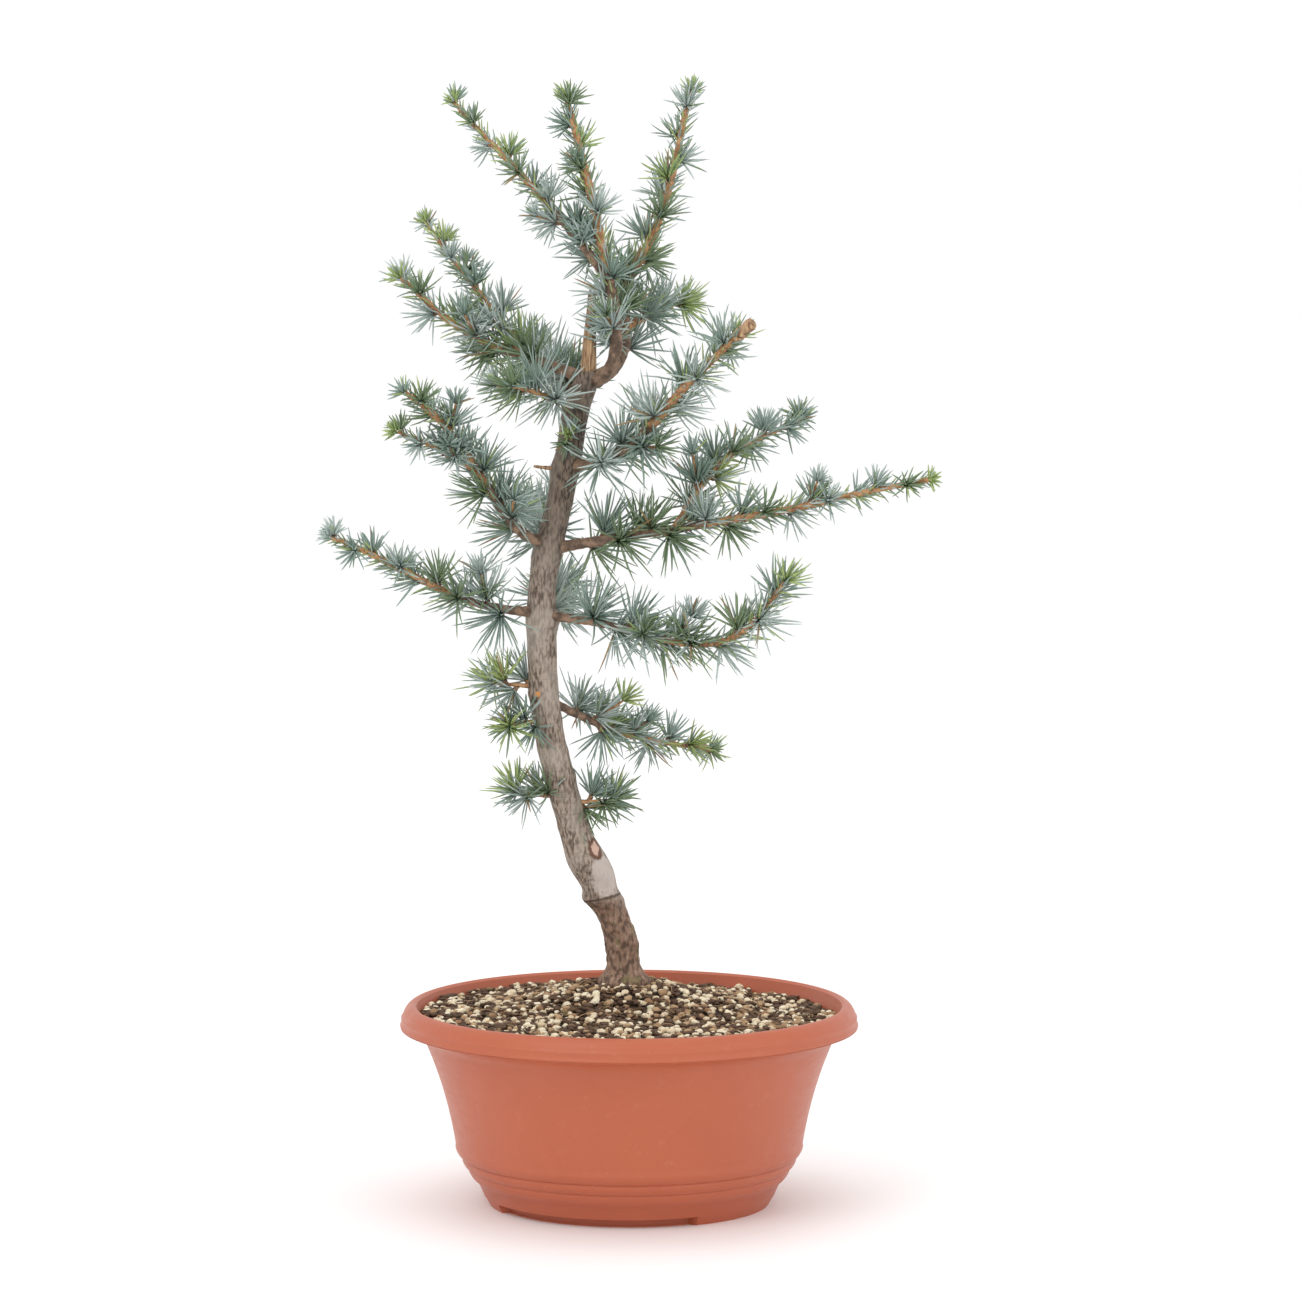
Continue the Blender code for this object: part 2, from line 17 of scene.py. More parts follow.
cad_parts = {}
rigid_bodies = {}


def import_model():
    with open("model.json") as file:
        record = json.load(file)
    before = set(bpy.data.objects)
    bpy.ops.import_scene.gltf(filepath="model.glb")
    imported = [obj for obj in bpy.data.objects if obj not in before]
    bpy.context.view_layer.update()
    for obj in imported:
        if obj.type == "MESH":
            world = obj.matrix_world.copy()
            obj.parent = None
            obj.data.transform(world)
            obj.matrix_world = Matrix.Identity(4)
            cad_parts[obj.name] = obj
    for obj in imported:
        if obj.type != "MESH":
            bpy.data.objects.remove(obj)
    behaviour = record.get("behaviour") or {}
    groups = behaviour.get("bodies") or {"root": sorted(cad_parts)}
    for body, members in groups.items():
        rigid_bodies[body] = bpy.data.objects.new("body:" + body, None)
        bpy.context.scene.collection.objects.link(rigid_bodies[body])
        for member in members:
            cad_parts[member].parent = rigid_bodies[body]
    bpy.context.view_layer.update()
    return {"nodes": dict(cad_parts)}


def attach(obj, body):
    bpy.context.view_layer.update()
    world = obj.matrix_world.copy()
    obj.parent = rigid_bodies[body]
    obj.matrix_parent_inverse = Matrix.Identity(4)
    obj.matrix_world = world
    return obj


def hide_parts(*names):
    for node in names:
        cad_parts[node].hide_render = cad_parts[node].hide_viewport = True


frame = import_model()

SEED = 11

# The camera, at the photograph's angle
CAMERA_PLACE = (0.010, -2.69, 0.531)
CAMERA_PITCH = 0.0977
CAMERA_LENS = 156.46
CAMERA_FILM = 36.0

# Floor and light
FLOOR_REACH = 40.0
FLOOR_SEGMENTS = 96
SKY_STRENGTH = 1.05
# Round lights: name, place, width and power
LIGHTS = (
    ("key", (-1.2, -1.8, 2.2), 1.6, 15),
    ("fill", (1.8, -1.4, 1.2), 1.8, 5),
    ("top", (0.0, 0.4, 2.6), 2.0, 8),
)
LIGHT_AIM = (0, 0, 0.25)

# The bowl
BOWL_SEGMENTS = 192
BOWL_SHARP_ANGLE = 35
LIP_RADIUS = 0.1103
LIP_WIDTH = 0.0063
LIP_MIDDLE = 0.0860
LIP_RISE = 0.0107
LIP_DROP = 0.0013
LIP_TURN = 0.92
LIP_STEPS = 48
LIP_RIDGES = (0.40, 0.52, 0.64)
LIP_RIDGE_WIDTH = 0.022
LIP_RIDGE_HEIGHT = 0.00045
LIP_INNER_EDGE = (0.0016, 0.0097)
LIP_INNER_CURVE = (0.0036, 0.0037)
NECK_RADIUS = 0.0985
NECK_HEIGHT = 0.0800
WALL = 0.0022
INNER_BEND = 0.046
BODY_SLOPE = 0.0085
BODY_FLARE = 0.0064
BODY_CURVE = 2.2
BODY_STEPS = 24
# The grooves between the bands: height and radius, from the top down
GROOVES = ((0.0286, 0.0836), (0.0226, 0.0803), (0.0172, 0.0774), (0.0110, 0.0730))
BAND_SWELL = 0.0012
BAND_FULLNESS = 0.6
BAND_STEPS = 8
FOOT_RADIUS = 0.0675
FOOT_WALL = 0.0032
FOOT_FLARE = 0.0018
FOOT_FLARE_HEIGHT = 0.0032
FOOT_FLARE_TOP = 0.0027
BASE_RING_HEIGHT = 0.0008
BASE_RING_INSIDE = 0.0620
BASE_RING_SLOPE = 0.0008
BASE_UNDERSIDE = 0.0040
FLOOR_RADIUS = 0.0655
FLOOR_HEIGHT = 0.0062
RECESS_MIDDLES = (252.5, 72.5)
RECESS_SPREAD = 90.0
RECESS_DEPTH = 0.0037
RECESS_HEIGHT = 0.0045

# The potting mix
SOIL_EDGE = 0.0918
SOIL_MOUND = 0.0107
SOIL_MOUND_SPREAD = 0.030
SOIL_TILT = 0.015
SOIL_TILT_REACH = 0.026
SOIL_RADIUS = 0.1005
SOIL_RINGS = 60
SOIL_SEGMENTS = 144
SOIL_LUMPS = 0.0009
SOIL_LUMP_SCALE = 220
SOIL_SKIN = 0.0022
# The bed's depth, and its width below as a share of its width above
SOIL_DEPTH = 0.006
SOIL_FOOT = 0.965
TRUNK_PATCH = 0.012
# Loose grains: how many, their sizes and their proportions
PUMICE_COUNT = 1650
PUMICE_SIZES = (0.0010, 0.0027)
PUMICE_USUAL_SIZE = 0.0016
PUMICE_FORM = (1.0, 0.82, 0.66)
CREAM_SHARE = 0.68
CHIP_COUNT = 3400
CHIP_SIZES = (0.0007, 0.0024)
CHIP_FORM = (1.6, 0.8, 0.45)
GRAIN_MARGIN = 0.002
GRAIN_WAVES = (1.5, 4)
GRAIN_WAVE_SHIFT = 6
GRAIN_WAVE_HEIGHT = 0.16
GRAIN_ROUGHNESS = 0.09
GRAIN_LEAN = 0.5
GRAIN_DEPTHS = (-0.0016, 0.0003)
# Root fibres that lie on the mix
FIBRE_COUNT = 160
FIBRE_MARGIN = 0.010
FIBRE_LENGTHS = (0.004, 0.011)
FIBRE_STEPS = 6
FIBRE_BENDS = (-0.5, 0.9)
FIBRE_RISE = 0.0012
FIBRE_THICK = 0.00018
FIBRE_SIDES = 5

# The trunk: height, sideways place and depth of its axis at each bend
TRUNK_BENDS = (
    (0.1028, -0.0024, 0.028),
    (0.127, -0.005, 0.027),
    (0.142, -0.012, 0.026),
    (0.179, -0.027, 0.023),
    (0.229, -0.039, 0.018),
    (0.266, -0.042, 0.014),
    (0.302, -0.041, 0.011),
    (0.339, -0.033, 0.008),
    (0.384, -0.025, 0.006),
    (0.4005, -0.0195, 0.005),
)
TRUNK_SIDES = 96
TRUNK_RINGS = 460
TRUNK_BURIED = 0.004
FOOT_THICK = 0.0082
FORK_THICK = 0.0060
# Swellings on the trunk: height, how far they reach up and down, and how much they add
SWELLINGS = (
    (0.1028, 0.005, 0.0048),
    (0.143, 0.004, 0.0018),
    (0.160, 0.011, 0.0026),
    (0.280, 0.006, 0.0005),
    (0.313, 0.006, 0.0008),
    (0.354, 0.006, 0.0009),
    (0.384, 0.006, 0.0008),
)
GRAFT_HEIGHT = 0.142
GREY_TOP = 0.300
BARK_GIRTH = 0.009
# Roughness of the bark: how it is squeezed upward, how fine it is and how far it stands out
BARK_ROUGHNESS = ((0.22, 420, 0.00022), (0.6, 150, 0.00045))
BARK_RINGS = (260, 0.00018)
PLATE_TOP = 0.146
PLATE_SCALE = 330
PLATE_HEIGHT = 0.0006
# Marks on the bark: azimuth, height, half width in degrees, half height, and how far they rise
MARKS = (
    (320, 0.171, 24, 0.0062, 0.0009),
    (320, 0.171, 13, 0.0040, -0.0014),
    (350, 0.281, 30, 0.0040, 0.0016),
    (205, 0.245, 24, 0.0030, 0.0012),
    (20, 0.205, 26, 0.0035, 0.0010),
    (215, 0.1445, 55, 0.0022, 0.0013),
    (330, 0.122, 34, 0.0045, 0.0012),
    (240, 0.322, 28, 0.0032, 0.0010),
    (300, 0.335, 24, 0.0028, 0.0009),
)

# Marks in the bark's colour: the middle and the half sizes of each
SMOOTH_PATCH = ((-0.010, 0.015, 0.157), (0.009, 0.009, 0.012))
CUT_RIM = ((-0.0158, 0.0168, 0.1705), (0.0044, 0.0050, 0.0068))
CUT_FACE = ((-0.0158, 0.0165, 0.1705), (0.0026, 0.0040, 0.0046))
CUT_SPOT = ((-0.0440, 0.0080, 0.2450), (0.0016, 0.0040, 0.0016))
# The graft's seam rises to the right
SEAM_HEIGHT = 0.1475
SEAM_SLOPE = 0.22

# Limbs. A limb leaves the trunk's axis at a height, or its parent limb at a distance along
# it. Its pitch is read at even stops from root to tip. Its needles begin where its bare
# stretch ends, and reach is how far they stand out, at the root and at the tip.
Limb = namedtuple("Limb", "name parent root azimuth pitches length thick bare reach")
LIMBS = (
    Limb("bough_low_right", "trunk", 0.242, 32, (-24, -25, -17, -11, -12), 0.100,
         0.0021, 0.018, (0.017, 0.008)),
    Limb("bough_low_left", "trunk", 0.284, 205, (6, 10, 19, 27, 27, 25, 20), 0.117,
         0.0023, 0.019, (0.018, 0.006)),
    Limb("bough_middle_right", "trunk", 0.2825, -27, (0, -6, -11, -8, 14, 46, 53), 0.143,
         0.0023, 0.020, (0.017, 0.013)),
    Limb("bough_back_low", "trunk", 0.286, 84, (0, 2, 4, 4), 0.085,
         0.0020, 0.020, (0.017, 0.012)),
    Limb("bough_long_right", "trunk", 0.3155, -14, (8, 10, 10, 10, 13, 13, 11), 0.189,
         0.0026, 0.018, (0.018, 0.006)),
    Limb("bough_back_middle", "trunk", 0.318, 95, (2, 6, 8, 6), 0.091,
         0.0022, 0.020, (0.017, 0.012)),
    Limb("bough_middle_left", "trunk", 0.319, 214, (0, 38, 55, 53, 50, 38, 32), 0.113,
         0.0026, 0.017, (0.018, 0.008)),
    Limb("bough_high_right", "trunk", 0.3545, -38, (8, 16, 36, 44, 40, 38, 36), 0.135,
         0.0030, 0.020, (0.017, 0.012)),
    Limb("bough_back_high", "trunk", 0.386, 108, (12, 16, 20, 20), 0.080,
         0.0020, 0.018, (0.017, 0.012)),
    Limb("bough_short_left", "trunk", 0.383, 230, (15, 16, 15, 8), 0.048,
         0.0018, 0.017, (0.017, 0.014)),
    Limb("bough_high_left", "trunk", 0.3965, 172, (22, 20, 18, 24, 34, 42, 38), 0.103,
         0.0026, 0.017, (0.020, 0.008)),
    Limb("leader_middle", "trunk", 0.3965, -30, (0, 75, 98, 104, 104, 105, 107, 105), 0.146,
         0.0032, 0.024, (0.015, 0.008)),
    Limb("leader_right", "trunk", 0.3945, 35, (5, 42, 88, 84, 54, 62, 70, 74, 76, 70), 0.160,
         0.0030, 0.028, (0.016, 0.008)),
    Limb("leader_left", "leader_middle", 0.058, 160, (50, 49, 46, 46, 43, 50), 0.115,
         0.0022, 0.012, (0.013, 0.006)),
    Limb("leader_back", "leader_right", 0.040, 50, (15, 15, 15), 0.043,
         0.0018, 0.010, (0.016, 0.012)),
    Limb("side_high_left", "bough_high_left", 0.033, 150, (58, 50, 48, 46, 48, 54), 0.083,
         0.0018, 0.012, (0.013, 0.006)),
    Limb("side_middle_left", "bough_middle_left", 0.058, 196, (20, 28, 30, 24, 12), 0.043,
         0.0014, 0.010, (0.011, 0.006)),
    Limb("side_long_right", "bough_long_right", 0.064, 35, (56, 50, 30, 18, 22), 0.092,
         0.0019, 0.012, (0.015, 0.008)),
)
TUFTS = (
    Limb("tuft_left_upper", "trunk", 0.2475, 188, (8, 4), 0.024, 0.0013, 0.006, (0.013, 0.013)),
    Limb("tuft_left_middle", "trunk", 0.231, 215, (4, -6), 0.022, 0.0013, 0.006, (0.010, 0.010)),
    Limb("tuft_left_lower", "trunk", 0.194, 184, (4, 4), 0.023, 0.0013, 0.006, (0.012, 0.012)),
    Limb("tuft_right_lower", "trunk", 0.191, -6, (4, 4), 0.022, 0.0013, 0.006, (0.012, 0.012)),
    Limb("tuft_front", "trunk", 0.366, 268, (20, 20), 0.015, 0.0013, 0.006, (0.006, 0.006)),
)
COURSE_STEP = 0.0005
COURSE_BEYOND = 0.012
LIMB_TAPER = 0.55
# A limb at least this thick is in old bark over the first share of its length
OLD_THICK = 0.0020
OLD_SHARE = 0.42
LIMB_SIDES = 14
LIMB_RING_STEP = 0.0012
LIMB_RINGS_LEAST = 6
LIMB_ROOT_SWELL = 0.5
LIMB_ROOT_REACH = 0.006
# How fine the knobs and the wrinkles are, and their height as a share of the thickness
LIMB_KNOBS = (330, 0.22)
LIMB_WRINKLES = (900, 0.08)
# The sawn end of one bough, uneven by a wave: its turn at each step and its depth
CUT_LIMB = "bough_high_right"
CUT_END = 0.012
CUT_END_THICK = 0.0027
CUT_END_STEPS = 8
CUT_END_SIDES = 20
CUT_END_FULLNESS = 1.06
CUT_END_WAVE = (1.7, 0.10)
# The dried old top of the trunk
DEAD_LEADER_TOP = 0.438
DEAD_LEADER_THICK = (0.0037, 0.0017)
DEAD_LEADER_LEAN = 0.002
DEAD_LEADER_BURIED = 0.002
DEAD_LEADER_RINGS = 60
DEAD_LEADER_SIDES = 28
# Furrows: how fine they are around and upward, and their depth
FURROWS = (3.2, 1.6, 0.30)
FRAY_SCALE = 4
FRAY_SLICE = 7
FRAY_HEIGHT = 0.004
FRAY_ONSET = 6
DEAD_TWIG = Limb("dead_twig", "trunk", 0.3535, 190, (4, 8), 0.0155, 0.0013, 0, (0, 0))

# Spurs and side shoots
GOLDEN_TURN = 2.39996
UPWARD = 0.35
SPUR_SPACING = (0.0052, 0.0090)
YOUNG_SPREAD = 0.9
TUFT_SPACING = 0.7
SPUR_TURN = 0.5
SPUR_LEAN = 0.75
SPUR_LENGTH = (0.0045, 0.0020)
SPUR_THICK = 0.0011
SPUR_BURIED = 0.001
SPUR_FORM = (0.80, 0.97, 0.95, 1.17, 1.15)
SPUR_SIDES = 8
SHOOT_CHANCE = 0.22
SHOOTS_UNTIL = 0.8
SHOOT_LENGTH = (0.010, 0.022)
SHOOT_LENGTH_LEAST = 0.6
SHOOT_THICK = 0.0009
SHOOT_TAPER = 0.05
SHOOT_LIFT = 0.05
SHOOT_STEPS = 8
SHOOT_REACH = 0.8
SHOOT_SPUR_LENGTH = 0.002
SHOOT_SPUR_LEAN = 0.5
# Needles of a rosette: on a limb, on its tip, on a side shoot's tip and beside a side shoot
ROSETTE_NEEDLES = (26, 42)
TIP_NEEDLES = (18, 26)
SHOOT_TIP_NEEDLES = (16, 26)
SHOOT_SPUR_NEEDLES = (12, 20)
SHOOT_TIP_AGE = 0.6
SHOOT_SPUR_AGE = 0.5
FULL_REACH = 0.018
ROSETTE_LEAST = 0.55
ROSETTE_SPREAD = (0.12, 1.38)
ROSETTE_CROWDING = 0.75
ROSETTE_TURN = 0.25
ROSETTE_TILT = 0.1
NEEDLE_LIFT = 0.20
NEEDLE_REACH = 1.32
NEEDLE_UNEVEN = 0.18
NEEDLE_ROOT = 0.0005
NEEDLE_WIDTH = 0.00056
NEEDLE_WIDTH_RANGE = (0.8, 1.15)
NEEDLE_STOPS = (0.0, 0.25, 0.60, 0.88)
NEEDLE_WIDTHS = (0.62, 1.0, 0.92, 0.55)
NEEDLE_SIDES = 3
NEEDLE_BEND = 0.24
# Single needles on the young wood
YOUNG_FROM = 0.32
YOUNG_LENGTH = (0.75, 1.25)
YOUNG_SPACING = 0.0007
YOUNG_LEAN = 0.78
YOUNG_WIDTH = 0.85
LIMB_SEED = 1100
UPRIGHT = 0.9
PIECE_TRIANGLES = 190000

# Needle colours: share of the sprays on old wood, share near the tips, and two shades
Tint = namedtuple("Tint", "name old young colour other")
TINTS = (
    Tint("blue", 0.40, 0.30, (0.335, 0.430, 0.385), (0.205, 0.290, 0.230)),
    Tint("glaucous", 0.40, 0.26, (0.520, 0.600, 0.565), (0.370, 0.455, 0.415)),
    Tint("green", 0.20, 0.24, (0.175, 0.250, 0.130), (0.240, 0.325, 0.190)),
    Tint("lime", 0.00, 0.28, (0.430, 0.520, 0.200), (0.290, 0.400, 0.150)),
    Tint("straw", 0.00, 0.00, (0.400, 0.280, 0.130), (0.280, 0.170, 0.085)),
)
YOUNG_ONSET = 3
STRAW_CHANCE = 0.015
STRAY_CHANCE = 0.16
# Limbs whose tips are in fresh growth
FRESH_TIPS = (
    "leader_left", "leader_middle", "leader_right", "bough_high_left", "side_high_left",
    "bough_long_right", "bough_middle_right", "side_middle_left",
)

# Finishes of wood and pumice: name, two colours and, for wood, how fine the grain is
BOUGH_BARK = ("bough_bark", (0.100, 0.062, 0.042), (0.300, 0.190, 0.125), 260)
YOUNG_BARK = ("young_bark_tan", (0.300, 0.140, 0.060), (0.560, 0.310, 0.150), 300)
SPUR_BARK = ("spur_bark", (0.110, 0.060, 0.035), (0.330, 0.190, 0.110), 500)
SHOOT_BARK = ("shoot_bark", (0.300, 0.140, 0.060), (0.560, 0.330, 0.160), 400)
CREAM_PUMICE = ("pumice_cream", (0.90, 0.80, 0.60), (0.68, 0.52, 0.33))
TAN_PUMICE = ("pumice_tan", (0.50, 0.34, 0.19), (0.30, 0.16, 0.08))


# Shaders


class Value:
    """A shader output on which the usual operators work."""

    def __init__(self, finish, socket):
        self.finish = finish
        self.socket = socket

    def maths(self, operation, first, second):
        return self.finish.add("ShaderNodeMath", {"operation": operation}, {0: first, 1: second})

    def __add__(self, other):
        return self.maths("ADD", self, other)

    def __sub__(self, other):
        return self.maths("SUBTRACT", self, other)

    def __rsub__(self, other):
        return self.maths("SUBTRACT", other, self)

    def __mul__(self, other):
        return self.maths("MULTIPLY", self, other)

    def __abs__(self):
        return self.maths("ABSOLUTE", self, 0)

    __radd__ = __add__
    __rmul__ = __mul__


class Finish:
    """A material whose nodes are added one by one."""

    def __init__(self, name, **constants):
        self.material = bpy.data.materials.new(name)
        self.material.use_nodes = True
        self.tree = self.material.node_tree
        self.shader = self.tree.nodes["Principled BSDF"]
        for socket, value in constants.items():
            self.shader.inputs[socket.replace("_", " ")].default_value = value
        self.place = self.add("ShaderNodeTexCoord", output="Object")

    def add(self, kind, settings=None, inputs=None, output=0):
        """Adds a node: its settings first, then the values or links of its sockets."""
        node = self.tree.nodes.new(kind)
        for key, value in (settings or {}).items():
            setattr(node, key, value)
        for key, value in (inputs or {}).items():
            if isinstance(value, Value):
                self.tree.links.new(value.socket, node.inputs[key])
            else:
                node.inputs[key].default_value = value
        return Value(self, node.outputs[output])

    def vectors(self, operation, first, second=(0, 0, 0), output=0):
        inputs = {0: first, 1: second}
        return self.add("ShaderNodeVectorMath", {"operation": operation}, inputs, output)

    def stretched(self, x, y, z):
        return self.vectors("MULTIPLY", self.place, (x, y, z))

    def noise(self, scale, detail=3.0, place=None):
        inputs = {"Vector": place or self.place, "Scale": scale, "Detail": detail}
        return self.add("ShaderNodeTexNoise", None, inputs, "Fac")

    def cells(self, scale, place=None):
        inputs = {"Vector": place or self.place, "Scale": scale}
        return self.add("ShaderNodeTexVoronoi", None, inputs, "Distance")

    def step(self, value, low, high):
        """0 below low and 1 above high, smooth between."""
        settings = {"interpolation_type": "SMOOTHSTEP"}
        inputs = {"Value": value, "From Min": low, "From Max": high}
        return self.add("ShaderNodeMapRange", settings, inputs)

    def along(self, axis):
        """The place along the axis X, Y or Z."""
        return self.add("ShaderNodeSeparateXYZ", None, {0: self.place}, axis)

    def blot(self, spot):
        """1 within a spot, given by its middle and its half sizes, and 0 outside."""
        middle, sizes = spot
        away = self.vectors("SUBTRACT", self.place, middle)
        away = self.vectors("DIVIDE", away, sizes)
        far = self.vectors("LENGTH", away, output="Value")
        far = far + (self.noise(500, 2) - 0.5) * 0.7
        return 1 - self.step(far, 0.80, 1.10)

    def mix(self, factor, first, second):
        """A colour between two, each a colour's three parts or an earlier mix."""
        colours = []
        for colour in (first, second):
            colours.append(colour if isinstance(colour, Value) else (*colour, 1.0))
        settings = {"data_type": "RGBA"}
        inputs = {0: factor, 6: colours[0], 7: colours[1]}
        return self.add("ShaderNodeMix", settings, inputs, 2)

    def show(self, colour, roughness, bump=None, depth=0.0):
        """Feeds the shader: colour, roughness and, where given, bump as relief of a depth."""
        self.tree.links.new(colour.socket, self.shader.inputs["Base Color"])
        self.tree.links.new(roughness.socket, self.shader.inputs["Roughness"])
        if bump:
            relief = self.add("ShaderNodeBump", None, {"Height": bump, "Distance": depth})
            self.tree.links.new(relief.socket, self.shader.inputs["Normal"])
        return self.material


def bowl_finish():
    finish = Finish("clay_plastic", Specular_IOR_Level=0.45)
    wide = finish.noise(28, 2)
    colour = finish.mix(wide, (0.430, 0.100, 0.044), (0.470, 0.116, 0.052))
    dust = finish.step(finish.noise(160, 5), 0.56, 0.78)
    colour = finish.mix(dust * 0.10, colour, (0.600, 0.260, 0.170))
    # Painted shade: the bowl is made darker towards its bottom, where less light falls.
    low = 1 - finish.step(finish.along("Z"), 0.0, 0.030)
    colour = finish.mix(low * 0.30, colour, (0.380, 0.085, 0.038))
    specks = 1 - finish.step(finish.cells(300), 0.03, 0.06)
    colour = finish.mix(specks * 0.5, colour, (0.720, 0.560, 0.440))
    scuffs = finish.noise(90, 4, finish.stretched(1, 1, 5))
    roughness = scuffs * 0.22 + 0.30
    grain = finish.noise(1400, 2)
    return finish.show(colour, roughness, grain, 0.00006)


def soil_finish():
    finish = Finish("potting_mix_bed")
    colour = finish.mix(finish.noise(260, 5), (0.020, 0.013, 0.008), (0.120, 0.075, 0.045))
    return finish.show(colour, finish.noise(600) * 0.2 + 0.8, finish.noise(900, 5), 0.0006)


def pumice_finish(name, pale, dark):
    finish = Finish(name)
    colour = finish.mix(finish.step(finish.noise(130, 3), 0.35, 0.70), pale, dark)
    pits = finish.cells(1300)
    # Painted shade: the colour darkens in the pits, the hollows of the bump.
    colour = finish.mix((1 - finish.step(pits, 0.10, 0.35)) * 0.45, colour, (0.20, 0.14, 0.085))
    moss = finish.step(finish.noise(60, 4), 0.66, 0.74)
    colour = finish.mix(moss * 0.5, colour, (0.12, 0.13, 0.03))
    return finish.show(colour, finish.noise(500) * 0.15 + 0.82, pits, 0.0003)


def chip_finish():
    finish = Finish("bark_chips")
    grain = finish.noise(300, 5, finish.stretched(1, 4, 1))
    colour = finish.mix(grain, (0.030, 0.018, 0.010), (0.170, 0.085, 0.042))
    return finish.show(colour, finish.noise(400) * 0.2 + 0.7, grain, 0.0004)


def fibre_finish():
    finish = Finish("root_fibres")
    colour = finish.mix(finish.noise(200), (0.30, 0.16, 0.07), (0.55, 0.38, 0.22))
    return finish.show(colour, finish.noise(400) * 0.2 + 0.7)


def bark_finish():
    """Trunk bark: flaky red-brown below the graft, pale grey above it, darker near the fork."""
    finish = Finish("trunk_bark")
    height = finish.along("Z") + (finish.noise(90, 3) - 0.5) * 0.012
    streak = finish.noise(900, 5, finish.stretched(1, 1, 0.30))
    cross = finish.noise(420, 4, finish.stretched(0.25, 0.25, 2.4))
    mottle = finish.step(finish.noise(95, 4, finish.stretched(1, 1, 0.5)), 0.42, 0.62)
    grey = finish.mix(finish.step(streak, 0.38, 0.62), (0.110, 0.076, 0.055), (0.380, 0.300, 0.240))
    grey = finish.mix(mottle * 0.50, grey, (0.470, 0.405, 0.345))
    grey = finish.mix(finish.step(cross, 0.60, 0.70) * 0.35, grey, (0.110, 0.072, 0.050))
    flakes = finish.noise(560, 5, finish.stretched(1, 1, 0.45))
    red = finish.mix(finish.step(flakes, 0.38, 0.56), (0.095, 0.055, 0.036), (0.270, 0.165, 0.112))
    red = finish.mix(finish.step(flakes, 0.62, 0.70) * 0.7, red, (0.430, 0.330, 0.260))
    moss = finish.step(finish.noise(150, 4), 0.58, 0.66)
    red = finish.mix(moss * 0.55, red, (0.150, 0.140, 0.045))
    dark = finish.mix(finish.step(streak, 0.38, 0.62), (0.045, 0.032, 0.024), (0.210, 0.155, 0.115))
    dark = finish.mix(mottle * 0.45, dark, (0.300, 0.240, 0.190))
    colour = finish.mix(finish.step(height, GRAFT_HEIGHT - 0.006, GRAFT_HEIGHT + 0.008), red, grey)
    colour = finish.mix(finish.step(height, GREY_TOP - 0.020, GREY_TOP + 0.030), colour, dark)
    smooth = finish.blot(SMOOTH_PATCH)
    colour = finish.mix(smooth * 0.8, colour, (0.560, 0.490, 0.450))
    seam = finish.along("Z") - finish.along("X") * SEAM_SLOPE
    seam = 1 - finish.step(abs(seam - SEAM_HEIGHT), 0.0002, 0.0009)
    colour = finish.mix(seam * 0.8, colour, (0.070, 0.040, 0.026))
    colour = finish.mix(finish.blot(CUT_RIM), colour, (0.130, 0.060, 0.035))
    colour = finish.mix(finish.blot(CUT_FACE), colour, (0.640, 0.430, 0.340))
    colour = finish.mix(finish.blot(CUT_SPOT), colour, (0.620, 0.280, 0.090))
    relief = (streak * 0.6 + flakes * 0.6 - cross * 0.3) * (1 - smooth * 0.8) - seam
    return finish.show(colour, streak * 0.2 + 0.68, relief, 0.0006)


def limb_finish(name, dark, pale, fineness):
    finish = Finish(name)
    grain = finish.noise(fineness, 4)
    colour = finish.mix(finish.step(grain, 0.35, 0.65), dark, pale)
    rings = finish.noise(1100, 3)
    colour = finish.mix(finish.step(rings, 0.58, 0.68) * 0.5, colour, (0.05, 0.028, 0.018))
    return finish.show(colour, grain * 0.2 + 0.62, rings + grain, 0.0003)


def dead_finish():
    finish = Finish("dead_wood_streaked")
    streak = finish.noise(700, 5, finish.stretched(1, 1, 0.12))
    colour = finish.mix(finish.step(streak, 0.35, 0.65), (0.190, 0.095, 0.045), (0.600, 0.390, 0.220))
    # Painted shade: the colour darkens in the cracks, the grooves of the relief.
    cracks = finish.step(finish.noise(900, 3, finish.stretched(1, 1, 0.08)), 0.62, 0.70)
    colour = finish.mix(cracks * 0.7, colour, (0.060, 0.035, 0.020))
    return finish.show(colour, streak * 0.2 + 0.65, streak - cracks, 0.0005)


def needle_finish(tint):
    finish = Finish("needle_" + tint.name, Specular_IOR_Level=0.35)
    wide = finish.step(finish.noise(70, 3), 0.32, 0.68)
    colour = finish.mix(wide, tint.colour, tint.other)
    bloom = finish.step(finish.noise(700, 2), 0.50, 0.72)
    pale = tuple(0.6 * part + 0.18 for part in tint.colour)
    colour = finish.mix(bloom * 0.45, colour, pale)
    return finish.show(colour, wide * 0.12 + 0.46)


def floor_finish():
    finish = Finish("pale_floor")
    colour = finish.mix(finish.noise(3, 2), (0.95, 0.95, 0.95), (0.97, 0.97, 0.97))
    return finish.show(colour, finish.noise(5) * 0.1 + 0.6)


# Meshes


class Skin:
    """Points and triangles that are gathered for one kind of piece."""

    def __init__(self):
        self.points = []
        self.faces = []
        self.count = 0

    def add(self, points, faces):
        self.points.append(np.asarray(points, dtype=float))
        self.faces.append(np.asarray(faces) + self.count)
        self.count += len(points)

    def piece(self, name, material, slot, replaced=()):
        mesh = bpy.data.meshes.new(name)
        points = np.vstack(self.points)
        faces = np.vstack(self.faces)
        mesh.vertices.add(len(points))
        mesh.vertices.foreach_set("co", points.ravel())
        mesh.loops.add(faces.size)
        mesh.loops.foreach_set("vertex_index", faces.ravel().astype(np.int32))
        mesh.polygons.add(len(faces))
        mesh.polygons.foreach_set("loop_start", np.arange(0, faces.size, 3, dtype=np.int32))
        mesh.update(calc_edges=True)
        mesh.validate()
        mesh.materials.append(material)
        mesh.shade_smooth()
        obj = bpy.data.objects.new(name, mesh)
        bpy.context.scene.collection.objects.link(obj)
        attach(obj, "root")
        if replaced:
            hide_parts(*replaced)
        return obj


